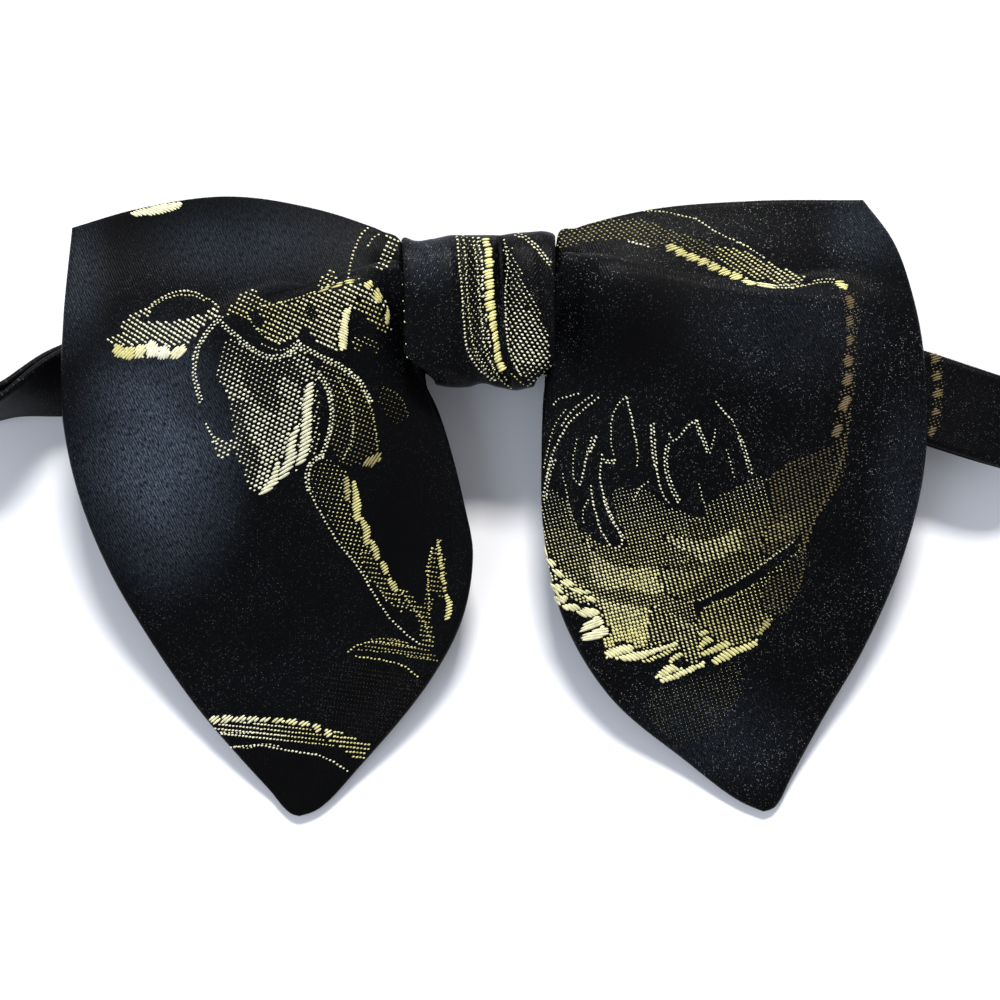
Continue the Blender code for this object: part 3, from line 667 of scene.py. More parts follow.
    ("sweep", (0.78, 0.62), (0.86, 0.97), (770, 520, 840, 460),
     ((768, 478), (784, 466), (806, 456), (828, 448), (848, 440), (848, 462), (838, 488), (822, 512),
     (806, 530), (788, 546), (768, 556), (762, 552), (768, 530), (772, 505))),
    ("sweep", (0.9, 0.76), (0.7, 0.88), (770, 530, 812, 500),
     ((766, 530), (780, 520), (800, 508), (816, 500), (812, 516), (796, 532), (776, 542), (764, 540))),
    ("sweep", (0.72, 0.74), (0.97, 0.84), (840, 430, 800, 560),
     ((850, 410), (848, 440), (840, 470), (828, 498), (814, 524), (804, 552), (797, 560), (800, 538),
     (812, 510), (824, 482), (834, 452), (838, 414))),
    # plumes: below the slit
    ("plume right", (0.56, 0.92), (0.34, 0.48), (740, 590, 728, 630),
     ((704, 608), (728, 597), (752, 584), (776, 567), (802, 549), (802, 578), (791, 598), (775, 618),
     (760, 634), (742, 644), (722, 646), (706, 640), (698, 626))),
    ("sweep", (0.66, 0.56), (0.84, 0.92), (770, 590, 800, 560),
     ((764, 586), (786, 566), (804, 550), (803, 578), (791, 598), (777, 616), (766, 612))),
)
# Rows of dots along a line: how many rows, dot size, tone, the dots' lean, the line's points
ROWS = (
    (1, 0.98, 0.1, 20, ((152, 304), (160, 299), (172, 293), (184, 291), (194, 292), (204, 297), (213, 302),
     (221, 309))),
    (1, 0.85, 0.45, -10, ((262, 306), (280, 303), (300, 297), (322, 289), (344, 281), (360, 279))),
    (1, 0.78, 0.2, 10, ((248, 316), (256, 328), (266, 337), (280, 341), (292, 335), (300, 324))),
    (1, 0.62, 0.1, 10, ((262, 344), (272, 349), (286, 349), (297, 341))),
    (1, 0.8, 0.2, 20, ((146, 310), (158, 303), (170, 297), (184, 295), (194, 296), (206, 301))),
    (2, 1.0, 0.0, -20, ((222, 316), (206, 334), (197, 351), (194, 370), (197, 388), (201, 402))),
    (1, 1.0, 0.0, -20, ((206, 424), (211, 434), (218, 444))),
    (2, 1.0, 0.0, -20, ((222, 324), (240, 339), (257, 352), (272, 357), (288, 354), (300, 342))),
    (2, 1.0, 0.05, -20, ((300, 345), (318, 355), (340, 366), (360, 382), (371, 402))),
    (2, 1.0, 0.05, -20, ((318, 372), (328, 390), (332, 410), (328, 438), (321, 458))),
    (1, 0.74, 0.2, -20, ((338, 378), (348, 396), (353, 420), (351, 444), (342, 460))),
    (1, 0.72, 0.55, -20, ((366, 396), (373, 416), (376, 436), (378, 452))),
    (2, 1.0, 0.05, -20, ((322, 455), (312, 462), (307, 476), (309, 490))),
    (1, 0.86, 0.1, -20, ((309, 490), (318, 508), (328, 526), (340, 545), (355, 563), (367, 582), (378, 601),
     (390, 618), (405, 633), (421, 645))),
    (1, 0.76, 0.3, -20, ((400, 590), (412, 606), (424, 622), (430, 640))),
    (1, 0.8, 0.3, 0, ((432, 548), (429, 562), (428, 580), (429, 600), (429, 614))),
    (1, 0.84, 0.35, -6, ((348, 652), (358, 645), (368, 642), (390, 643), (418, 648))),
    (1, 0.62, 0.5, -6, ((372, 639), (392, 639), (408, 643))),
    (1, 0.66, 0.5, -6, ((366, 650), (396, 653), (430, 658))),
    (1, 0.82, 0.35, -6, ((356, 656), (376, 659), (396, 663), (406, 667), (418, 677))),
    (1, 0.92, 0.05, -14, ((231, 747), (245, 746), (256, 745), (270, 747), (285, 750), (305, 753), (320, 756),
     (330, 760), (340, 766), (349, 772))),
    (1, 0.72, 0.1, -14, ((236, 746), (248, 748), (262, 744), (280, 746))),
    (1, 0.8, 0.0, -14, ((217, 732), (235, 733), (258, 733), (286, 736))),
    (1, 0.88, 0.15, 10, ((348, 278), (351, 262), (356, 246), (364, 232), (373, 226), (384, 227))),
    (1, 0.78, 0.15, 10, ((368, 246), (374, 237), (380, 234))),
    # single stitches along the knot's left edge
    *((1, 0.62, 0.1, 80, ((x, y), (x, y + 2))) for x, y in (
        (402, 285), (403, 301), (404, 311), (405, 322), (406, 344), (407, 357))),
    (1, 0.94, 0.05, -40, ((457, 236), (459, 262), (462, 292), (464, 322), (468, 350), (480, 370),
     (498, 382))),
    (1, 0.74, 0.1, -40, ((463, 236), (466, 262), (467, 292), (470, 322), (475, 350), (486, 370))),
    (1, 1.06, 0.05, -40, ((478, 238), (482, 262), (483, 292), (487, 322), (491, 350), (497, 366))),
    (1, 0.8, 0.08, -40, ((473, 238), (477, 262), (479, 292), (482, 322), (486, 350), (494, 370))),
    (1, 0.92, 0.05, 20, ((504, 240), (508, 260), (506, 286), (506, 320), (510, 352), (520, 374))),
    (2, 0.9, 0.2, 30, ((514, 234), (522, 236), (530, 241))),
    (1, 0.7, 0.3, 40, ((494, 372), (503, 382), (512, 388))),
    (1, 0.66, 0.35, 40, ((512, 374), (522, 383), (534, 388))),
    (2, 0.95, 0.05, 30, ((528, 240), (536, 247), (544, 257), (551, 265))),
    (1, 0.8, 0.25, 20, ((640, 211), (664, 212), (682, 216), (696, 219))),
    (1, 0.92, 0.08, 20, ((696, 219), (708, 227), (724, 236), (740, 243), (754, 251), (764, 258))),
    (1, 1.0, 0.0, 0, ((629, 242), (639, 244), (650, 247))),
    (1, 0.74, 0.05, 40, ((578, 394), (566, 397), (558, 400), (552, 407))),
    (1, 0.9, 0.0, 40, ((598, 398), (584, 409), (570, 422), (560, 438), (552, 456), (546, 478))),
    (1, 0.8, 0.0, 40, ((592, 396), (580, 404), (568, 416), (561, 428))),
    (1, 0.62, 0.1, 40, ((566, 410), (558, 420), (551, 436), (547, 454), (543, 470))),
    (2, 0.8, 0.0, 40, ((554, 460), (549, 474), (546, 488), (545, 500))),
    (1, 0.66, 0.05, 40, ((577, 440), (574, 453), (573, 468), (575, 480), (580, 485))),
    (1, 0.9, 0.0, 40, ((580, 485), (584, 470), (587, 456), (594, 444), (597, 434))),
    (2, 0.78, 0.0, 40, ((594, 436), (591, 446), (588, 454))),
    (1, 0.6, 0.1, 40, ((563, 474), (566, 490), (570, 508), (576, 526))),
    (2, 0.92, 0.0, 10, ((604, 461), (612, 462), (617, 461))),
    (1, 0.96, 0.0, 40, ((602, 455), (600, 470), (602, 488), (606, 506), (613, 522), (621, 536), (622, 545),
     (615, 548))),
    (1, 0.78, 0.0, 40, ((606, 500), (611, 514), (618, 528), (626, 540))),
    (1, 0.92, 0.0, 40, ((591, 486), (593, 502), (597, 518), (602, 532), (611, 546))),
    (1, 0.62, 0.1, 40, ((588, 500), (583, 512), (584, 526))),
    (1, 0.7, 0.05, 40, ((626, 397), (617, 406), (612, 420), (611, 438), (614, 456))),
    (1, 0.9, 0.0, 40, ((627, 398), (630, 410), (633, 426), (636, 442))),
    (1, 0.66, 0.1, 40, ((636, 442), (638, 454), (637, 466))),
    (2, 0.86, 0.0, 40, ((652, 424), (653, 438), (654, 452), (656, 466))),
    (1, 0.9, 0.0, 40, ((656, 466), (659, 482), (664, 496), (671, 505))),
    (1, 0.86, 0.0, 40, ((669, 434), (674, 441), (680, 436), (688, 426), (697, 420))),
    (2, 0.84, 0.0, 40, ((668, 444), (666, 458), (667, 472), (672, 488), (680, 503))),
    (2, 0.84, 0.0, 40, ((696, 421), (700, 432), (705, 443), (709, 454))),
    (1, 0.64, 0.1, 40, ((711, 448), (714, 438), (716, 426))),
    (1, 0.95, 0.0, 40, ((716, 402), (724, 412), (733, 421))),
    (1, 0.64, 0.1, 40, ((733, 422), (737, 430), (741, 444))),
    (2, 0.78, 0.0, 40, ((739, 436), (744, 448), (748, 462), (751, 474))),
    (1, 0.6, 0.1, 40, ((727, 450), (731, 464), (735, 480))),
    (1, 0.6, 0.1, 40, ((699, 484), (702, 496), (706, 510))),
    (1, 0.74, 0.1, 40, ((634, 500), (640, 488), (648, 482))),
    (1, 0.56, 0.9, -16, ((849, 414), (846, 440), (838, 470), (826, 498), (812, 524), (803, 552), (802, 576),
     (794, 598), (780, 616))),
    (2, 0.9, 0.2, -10, ((772, 287), (790, 286), (808, 284), (822, 281), (836, 281))),
    (1, 0.5, 0.8, -30, ((384, 387), (396, 393), (404, 404), (409, 418))),
    (1, 0.74, 0.12, 35, ((700, 600), (722, 589), (745, 576), (772, 557), (794, 541))),
    (1, 0.62, 0.25, 35, ((706, 607), (730, 599), (752, 586))),
)
# Patches of long floats side by side: the floats' lean in degrees, pitch, thread width, tone, outline
PATCHES = (
    # under the leaf
    (-44, 2.4, 3.4, 0.5, ((112, 352), (116, 344), (123, 347), (125, 352), (124, 358), (116, 357))),
    (-44, 2.4, 3.4, 0.46, ((124, 350), (129, 347), (135, 347), (134, 357), (128, 360), (123, 358))),
    (-50, 2.4, 3.4, 0.2, ((135, 350), (139, 345), (147, 344), (146, 352), (142, 358), (134, 358))),
    (-62, 2.4, 3.6, 0.0, ((148, 345), (151, 339), (155, 341), (159, 346), (158, 357), (147, 358),
     (146, 352))),
    (-62, 2.4, 3.6, 0.0, ((160, 348), (165, 345), (170, 350), (169, 358), (162, 360), (158, 359))),
    (-44, 2.4, 3.6, 0.12, ((171, 354), (177, 347), (186, 344), (186, 352), (178, 359), (170, 359))),
    # leaf cut by the top edge
    (28, 2.4, 3.0, 0.12, ((130, 213), (150, 206), (166, 203), (184, 202), (180, 208), (168, 213), (150, 216),
     (136, 216))),
    # bar, crest and fold line beside the knot
    (28, 2.5, 3.2, 0.2, ((342, 312), (346, 308), (351, 308), (348, 320), (348, 334), (346, 350), (340, 350),
     (338, 334), (342, 322))),
    (30, 2.3, 2.7, 0.36, ((363, 284), (371, 281), (374, 285), (370, 289), (364, 288))),
    (30, 2.3, 2.7, 0.42, ((370, 296), (376, 288), (383, 294), (384, 300), (377, 303))),
    (30, 2.3, 2.7, 0.46, ((382, 316), (388, 307), (392, 318), (389, 324), (385, 323))),
    (-16, 2.0, 2.2, 0.55, ((318, 291), (329, 286), (331, 288), (320, 293))),
    (-16, 2.0, 2.2, 0.45, ((331, 287), (342, 282), (344, 284), (333, 289))),
    (-14, 2.0, 2.2, 0.5, ((344, 282), (354, 279), (356, 281), (346, 285))),
    (-58, 2.6, 2.5, 0.8, ((362, 466), (368, 457), (376, 453), (382, 452), (380, 460), (372, 467))),
    # plumes, outer chain at the left
    (36, 2.4, 4.0, 0.2, ((546, 586), (549, 584), (558, 585), (562, 589), (564, 595), (553, 595),
     (550, 592))),
    (36, 2.4, 4.0, 0.2, ((552, 598), (561, 595), (566, 597), (569, 601), (560, 604), (556, 602))),
    (36, 2.4, 4.0, 0.2, ((562, 606), (570, 603), (577, 606), (580, 609), (573, 611), (566, 609))),
    (30, 2.4, 4.0, 0.18, ((575, 612), (586, 607), (596, 610), (600, 613), (591, 618), (582, 616))),
    (-20, 2.4, 4.0, 0.14, ((579, 631), (583, 624), (592, 620), (598, 616), (603, 619), (605, 624), (592, 627),
     (581, 632))),
    (-8, 2.4, 4.0, 0.14, ((581, 639), (582, 635), (592, 631), (604, 626), (609, 630), (609, 634), (598, 639),
     (585, 640))),
    # plumes, inner chain at the left
    (50, 2.4, 3.0, 0.2, ((541, 547), (545, 549), (551, 557), (546, 557), (542, 552))),
    (46, 2.4, 3.0, 0.2, ((546, 559), (551, 559), (557, 567), (551, 567))),
    (44, 2.4, 3.0, 0.2, ((552, 569), (557, 569), (564, 577), (559, 579), (554, 574))),
    (36, 2.4, 3.0, 0.2, ((560, 580), (566, 579), (576, 585), (571, 587), (564, 586))),
    (26, 2.4, 3.0, 0.2, ((568, 588), (576, 587), (591, 592), (586, 595), (575, 593))),
    (34, 2.4, 3.0, 0.22, ((582, 596), (590, 596), (594, 598), (598, 603), (590, 602))),
    # plumes, tips at the bottom
    (36, 2.8, 3.7, 0.22, ((605, 652), (609, 649), (624, 644), (630, 645), (634, 650), (631, 653), (620, 655),
     (612, 658), (607, 658))),
    (34, 2.8, 3.7, 0.22, ((615, 658), (622, 655), (634, 652), (650, 650), (664, 646), (675, 642), (679, 645),
     (668, 648), (655, 653), (645, 658), (636, 661), (626, 661))),
    (34, 3.2, 2.3, 0.3, ((640, 662), (650, 658), (660, 653), (672, 648), (673, 651), (661, 657),
     (650, 662))),
    (36, 3.1, 3.7, 0.24, ((656, 678), (659, 672), (663, 667), (670, 664), (679, 668), (684, 669), (672, 673),
     (661, 678))),
    (36, 3.0, 2.9, 0.3, ((667, 662), (672, 656), (680, 652), (683, 656), (676, 660), (669, 664))),
    (36, 3.0, 3.7, 0.24, ((658, 681), (664, 677), (680, 671), (695, 665), (703, 661), (705, 665), (698, 669),
     (684, 675), (670, 681), (661, 683))),
    (36, 3.3, 3.6, 0.42, ((701, 653), (706, 650), (716, 645), (725, 641), (731, 644), (728, 648), (714, 653),
     (704, 656))),
    (36, 3.0, 3.0, 0.45, ((698, 632), (705, 629), (708, 633), (700, 637))),
    (36, 3.0, 3.0, 0.42, ((699, 646), (701, 641), (706, 636), (712, 639), (713, 642), (705, 645),
     (700, 649))),
    (36, 3.5, 3.6, 0.34, ((711, 660), (716, 656), (724, 650), (736, 647), (748, 643), (757, 639), (758, 644),
     (748, 650), (738, 655), (728, 660), (718, 664), (713, 663))),
    (36, 3.0, 2.8, 0.72, ((756, 633), (763, 627), (762, 621), (769, 619), (772, 624), (766, 629),
     (760, 635))),
    # rope below the band of the right wing
    (-20, 2.3, 2.9, 0.57, ((666, 246), (672, 244), (680, 247), (678, 250), (667, 252))),
    (-20, 2.3, 2.9, 0.55, ((675, 251), (682, 249), (688, 252), (686, 256), (676, 257))),
    (-20, 2.3, 2.9, 0.55, ((686, 256), (692, 253), (700, 257), (697, 261), (687, 262))),
    (-20, 2.3, 2.9, 0.59, ((697, 261), (704, 258), (711, 260), (708, 265), (698, 266))),
    (-20, 2.3, 2.9, 0.45, ((707, 267), (713, 262), (721, 266), (719, 270), (709, 271))),
    (-20, 2.3, 2.9, 0.39, ((718, 273), (724, 267), (731, 271), (730, 275), (720, 276))),
    (-20, 2.3, 2.9, 0.35, ((729, 277), (734, 272), (743, 275), (741, 280), (731, 281))),
    (-20, 2.3, 2.9, 0.27, ((741, 282), (746, 278), (756, 281), (753, 286), (744, 286))),
    (4, 2.3, 2.8, 0.22, ((755, 285), (760, 281), (769, 283), (780, 286), (792, 287), (760, 288))),
    (-20, 2.2, 2.6, 0.35, ((834, 284), (842, 280), (849, 284), (846, 290), (838, 289))),
    # upright stripe of the right wing
    (-22, 2.3, 2.5, 0.99, ((844, 298), (850, 295), (855, 300), (854, 308), (848, 309))),
    (-22, 2.3, 2.2, 0.99, ((845, 318), (852, 315), (854, 324), (847, 328))),
    (-22, 2.3, 2.2, 0.99, ((845, 338), (852, 335), (854, 342), (847, 347))),
    (-20, 2.3, 2.5, 0.99, ((842, 360), (848, 355), (855, 358), (852, 365), (845, 367))),
    (-20, 2.3, 2.5, 0.99, ((841, 382), (846, 374), (854, 374), (853, 382), (846, 387))),
    (-20, 2.3, 2.5, 0.99, ((837, 406), (844, 397), (851, 396), (851, 402), (846, 410), (839, 411))),
    (-18, 2.3, 2.4, 0.99, ((830, 436), (834, 427), (842, 424), (843, 430), (838, 437))),
    # stripe of the strap
    (-18, 2.4, 2.3, 0.98, ((930, 356), (936, 353), (941, 356), (940, 362), (932, 363))),
    (-18, 2.4, 2.3, 0.98, ((931, 376), (937, 371), (942, 374), (941, 379), (934, 381))),
    (-18, 2.4, 2.3, 0.98, ((932, 394), (937, 388), (943, 390), (942, 396), (935, 399))),
    (-18, 2.4, 2.3, 0.98, ((931, 414), (935, 408), (941, 411), (939, 415), (933, 417))),
    (-18, 2.4, 2.3, 0.98, ((928, 433), (931, 426), (937, 428), (935, 434), (930, 437))),
    # arc at the tip
    (-40, 2.8, 2.7, 0.1, ((208, 720), (214, 716), (221, 716), (219, 722), (214, 724))),
    (-40, 2.8, 2.7, 0.1, ((220, 723), (223, 716), (232, 715), (233, 720), (228, 724))),
    (-40, 2.8, 2.7, 0.1, ((232, 722), (236, 717), (245, 715), (246, 719), (240, 722))),
    (-40, 2.8, 2.7, 0.12, ((245, 723), (249, 717), (258, 716), (258, 719), (252, 723))),
    (-36, 2.8, 2.6, 0.18, ((259, 721), (263, 718), (270, 717), (272, 720), (266, 722))),
    (-36, 2.8, 2.6, 0.2, ((272, 722), (276, 718), (284, 718), (285, 721), (278, 724))),
    (-36, 2.8, 2.6, 0.22, ((285, 722), (289, 719), (297, 719), (297, 723), (290, 726))),
    (-36, 2.8, 2.6, 0.22, ((298, 724), (302, 721), (309, 722), (309, 725), (303, 727))),
    (-36, 2.8, 2.6, 0.24, ((312, 727), (315, 724), (321, 726), (321, 731), (315, 732))),
    (-36, 2.8, 2.6, 0.24, ((324, 734), (326, 729), (332, 730), (333, 735), (327, 737))),
)
# Stacks of floats: the floats' lean in degrees, pitch, thread width, floats to a group (0 for one run),
# gap after a group, tone, and the line's points with the stack's width there
STACKS = (
    (-34, 3.3, 3.4, 0, 0.0, 0.05, ((310, 383, 7), (308, 398, 11), (307, 420, 12), (305, 445, 12),
     (300, 466, 8))),
    (-34, 3.3, 3.4, 0, 0.0, 0.03, ((297, 426, 4), (292, 440, 10), (290, 458, 12), (285, 472, 11),
     (282, 481, 8))),
    (-28, 3.3, 3.7, 0, 0.0, 0.08, ((278, 462, 5), (274, 476, 8), (270, 486, 11), (266, 491, 8))),
    (-34, 2.6, 2.2, 0, 0.0, 0.66, ((346, 477, 5), (347, 488, 7), (348, 501, 5))),
    (-34, 2.6, 2.5, 0, 0.0, 0.42, ((353, 481, 4), (356, 496, 8), (357, 510, 9), (358, 520, 7))),
    (-36, 2.6, 2.3, 0, 0.0, 0.48, ((361, 518, 4), (366, 528, 8), (367, 538, 8), (368, 546, 5))),
    (-38, 2.6, 2.3, 0, 0.0, 0.5, ((370, 540, 4), (375, 550, 8), (378, 560, 6))),
    (-38, 2.6, 2.3, 0, 0.0, 0.5, ((381, 562, 5), (385, 569, 8), (387, 575, 5))),
    (-36, 2.6, 2.3, 0, 0.0, 0.5, ((389, 578, 5), (393, 585, 8), (397, 592, 5))),
    (-22, 2.7, 2.2, 5, 1.4, 0.5, ((438, 541, 3), (439, 552, 4), (441, 566, 5), (443, 580, 5),
     (445, 592, 4))),
    (-26, 2.7, 2.4, 0, 0.0, 0.42, ((446, 594, 4), (449, 604, 7), (449, 613, 7), (447, 620, 4))),
    (-19, 2.9, 3.7, 3, 1.5, 0.36, ((486, 238, 8), (488, 256, 9), (489, 278, 10), (490, 300, 11),
     (493, 322, 10), (496, 344, 9), (498, 360, 10), (504, 372, 10))),
)


LENGTH_SETTING = {"subtype": "DISTANCE", "unit": "LENGTH", "min": 0.00005}
COLOUR_SETTING = {"subtype": "COLOR", "min": 0.0, "max": 1.0}


class BowTieSizes(PropertyGroup):
    """Sizes of the threads and the cloth."""

    dot_length: FloatProperty(
        name="Dot length",
        description="Length of a woven dot of full size",
        default=0.00062, **LENGTH_SETTING,
    )
    dot_width: FloatProperty(
        name="Dot width",
        description="Width of a woven dot of full size",
        default=0.00046, **LENGTH_SETTING,
    )
    thread_height: FloatProperty(
        name="Thread height",
        description="How far the gold threads stand out of the satin",
        default=0.00022, **LENGTH_SETTING,
    )
    twill_pitch: FloatProperty(
        name="Twill pitch",
        description="Distance between the diagonal ribs of the satin",
        default=0.00048, **LENGTH_SETTING,
    )
    # Pitch of the painted glints, fine bright points of light put into the satin's colour
    glint_pitch: FloatProperty(
        name="Point pitch",
        description="Distance between the fine painted glints of light on the satin",
        default=0.00031, **LENGTH_SETTING,
    )
    seed: IntProperty(
        name="Seed",
        description="Seed of the small differences between threads",
        default=7, min=0,
    )


class BowTieColours(PropertyGroup):
    """Colours of the cloth, the threads, the clasp and the floor."""

    satin: FloatVectorProperty(
        name="Satin",
        description="Black of the satin",
        default=(0.0007, 0.0007, 0.0009), **COLOUR_SETTING,
    )
    # Painted sheen: the highlight colour that the sheen patches mix into the satin's colour
    sheen: FloatVectorProperty(
        name="Sheen",
        description="Colour of the satin where its face catches the light",
        default=(0.105, 0.135, 0.185), **COLOUR_SETTING,
    )
    bloom: FloatVectorProperty(
        name="Bloom",
        description="Bluish grey of the satin's threads where they catch the light",
        default=(0.0026, 0.0031, 0.0044), **COLOUR_SETTING,
    )
    cream: FloatVectorProperty(
        name="Cream thread",
        description="Pale end of the gold threads",
        default=(0.86, 0.84, 0.61), **COLOUR_SETTING,
    )
    gold: FloatVectorProperty(
        name="Gold thread",
        description="Middle of the gold threads",
        default=(0.78, 0.72, 0.28), **COLOUR_SETTING,
    )
    brown: FloatVectorProperty(
        name="Brown gold thread",
        description="Dark end of the gold threads",
        default=(0.092, 0.055, 0.011), **COLOUR_SETTING,
    )
    clasp: FloatVectorProperty(
        name="Clasp",
        description="Black plastic of the clasp",
        default=(0.018, 0.018, 0.020), **COLOUR_SETTING,
    )
    floor: FloatVectorProperty(
        name="Floor",
        description="Pale floor that the bow tie lies on",
        default=(0.86, 0.86, 0.88), **COLOUR_SETTING,
    )


def smooth_step(x):
    """0 below 0, 1 above 1, and a smooth rise between them."""
    x = np.clip(x, 0.0, 1.0)
    return x * x * (3.0 - 2.0 * x)


def smooth_curve(rows, at):
    """Smooth line through rows of (position, value, ...), read at the given positions."""
    rows = np.array(rows, float)
    place, values = rows[:, 0], rows[:, 1:]
    slopes = np.gradient(values, place, axis=0)
    at = np.clip(np.atleast_1d(np.asarray(at, float)), place[0], place[-1])
    row = np.clip(np.searchsorted(place, at, side="right") - 1, 0, len(place) - 2)
    span = (place[row + 1] - place[row])[:, None]
    share = (at - place[row])[:, None] / span
    start, end = values[row], values[row + 1]
    rise_start, rise_end = slopes[row] * span, slopes[row + 1] * span
    return (
        start * (1 + 2 * share) * (1 - share) ** 2
        + rise_start * share * (1 - share) ** 2
        + end * share * share * (3 - 2 * share)
        - rise_end * share * share * (1 - share)
    )


def length_along(points):
    """Distance from the first point to each one, along the last but one axis."""
    steps = np.linalg.norm(np.diff(points, axis=-2), axis=-1)
    return np.concatenate([np.zeros(steps.shape[:-1] + (1,)), np.cumsum(steps, axis=-1)], axis=-1)


def rounded(distance, reach):
    """Share of the full thickness at a distance from a folded edge, as on a round edge."""
    share = np.clip(distance / reach, 0.0, 1.0)
    return np.sqrt(1.0 - (1.0 - share) ** 2)


def oblong(values, power):
    """Cosines or sines raised to a power with their sign kept, which squares a round loop off."""
    return np.copysign(np.abs(values) ** power, values)


def unit(vectors):
    """Vectors scaled to length 1."""
    return vectors / np.maximum(np.linalg.norm(vectors, axis=-1, keepdims=True), LEAST_LENGTH)


def direction(degrees):
    """Cosine and sine of an angle in degrees."""
    turn = math.radians(degrees)
    return math.cos(turn), math.sin(turn)


# Cloth meshes


def grid_normals(points, ring):
    """Unit normals of a grid of points, whose columns close on themselves where ring is set."""
    if ring:
        wide = np.concatenate([points[:, -1:], points, points[:, :1]], axis=1)
        across = (wide[:, 2:] - wide[:, :-2]) / 2
    else:
        across = np.gradient(points, axis=1)
    return unit(np.cross(np.gradient(points, axis=0), across))


def grid_quads(grid, ring):
    """Faces between the corners that a grid numbers. Its columns close on themselves where ring is set."""
    here, after = (grid, np.roll(grid, -1, axis=1)) if ring else (grid[:, :-1], grid[:, 1:])
    return np.stack([here[:-1], here[1:], after[1:], after[:-1]], axis=-1).reshape(-1, 4)


def closed_mesh(name, corners, quads):
    """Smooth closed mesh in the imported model's place, with its faces outwards. Gives it and its faces."""
    first, second, third, fourth = (corners[quads[:, corner]] for corner in range(4))
    halves = ((second, third), (third, fourth))
    volume = sum(np.einsum("ij,ij->i", first, np.cross(*half)).sum() for half in halves)
    if volume < 0:
        quads = quads[:, ::-1]
    mesh = bpy.data.meshes.new(name)
    mesh.from_pydata((corners + SHIFT).tolist(), [], quads.tolist())
    mesh.shade_smooth()
    return mesh, quads


def cloth_mesh(name, points, half, flat, ring=False):
    """Closed mesh of two layers, half a thickness to each side of a grid, joined along its open edges."""
    shape = points.shape[:2]
    front = np.arange(shape[0] * shape[1]).reshape(shape)
    inner = (slice(1, -1), slice(None) if ring else slice(1, -1))
    back = front.copy()
    back[inner] = front.size + np.arange(front[inner].size).reshape(front[inner].shape)
    offset = grid_normals(points, ring) * half[..., None]
    corners = np.concatenate([(points + offset).reshape(-1, 3), (points - offset)[inner].reshape(-1, 3)])
    places = np.concatenate([flat.reshape(-1, 2), flat[inner].reshape(-1, 2)])
    quads = np.concatenate([grid_quads(front, ring), grid_quads(back, ring)[:, ::-1]])
    mesh, quads = closed_mesh(name, corners, quads)
    layer = mesh.uv_layers.new(name="cloth")
    layer.data.foreach_set("uv", (places[quads.reshape(-1)] * UV_PER_METRE).astype(np.float32).ravel())
    return mesh


def add_piece(name, mesh, material):
    """Object for a finished mesh, linked to the scene, with its material."""
    mesh.materials.clear()
    mesh.materials.append(material)
    piece = bpy.data.objects.new(name, mesh)
    bpy.context.scene.collection.objects.link(piece)
    return piece


# Wings


def knot_section(across):
    """Upper edge, lower edge and front of the knot at a place across it."""
    top, bottom, front = smooth_curve(KNOT_SECTIONS, across)[0]
    half_height, half_depth = KNOT_HEIGHT / 2, KNOT_DEPTH / 2
    return KNOT_UP + top * half_height, KNOT_UP + bottom * half_height, KNOT_MIDDLE + front * half_depth


def knot_half_width(side, above_bottom):
    """Half the knot's width on one side, less near the bottom, where its mouth is cut back."""
    share = smooth_step(1.0 - np.asarray(above_bottom) / KNOT_CORNER_HEIGHT)
    return KNOT_WIDTH / 2 - KNOT_CUT[side] * share


def wing_point(side, out, up, rise):
    """Place of a point that an outline row gives by shares."""
    throat = KNOT_ACROSS + side * KNOT_WIDTH / 2
    end = side * BOW_WIDTH / 2
    return throat + out * (end - throat), up * BOW_HEIGHT / 2, WING_LOW + rise * (WING_HIGH - WING_LOW)


def wing_edges(wing):
    """The top edge, the inner edge and the outer edge as rows of position and x, y, z."""
    side = wing["side"]
    upper, lower, _ = knot_section(side)
    inset = KNOT_WALL + WING_EASE
    half_root = KNOT_HEIGHT / 2 - KNOT_WALL - 2 * WING_EASE
    root_x = KNOT_ACROSS + side * GAP
    low_x = KNOT_ACROSS + side * (float(knot_half_width(side, 0.0)) + WING_EASE)
    starts = {
        "top": [
            (0.0, root_x, KNOT_UP + half_root, WING_HIGH),
            (THROAT, KNOT_ACROSS + side * KNOT_WIDTH / 2, upper - inset, WING_HIGH),
        ],
        "inner": [
            (0.0, root_x, KNOT_UP - half_root, WING_HIGH),
            (THROAT, low_x, lower + inset, WING_HIGH),
        ],
        "outer": [],
    }
    return [
        start + [(row[0], *wing_point(side, *row[1:])) for row in wing[edge]]
        for edge, start in starts.items()
    ]


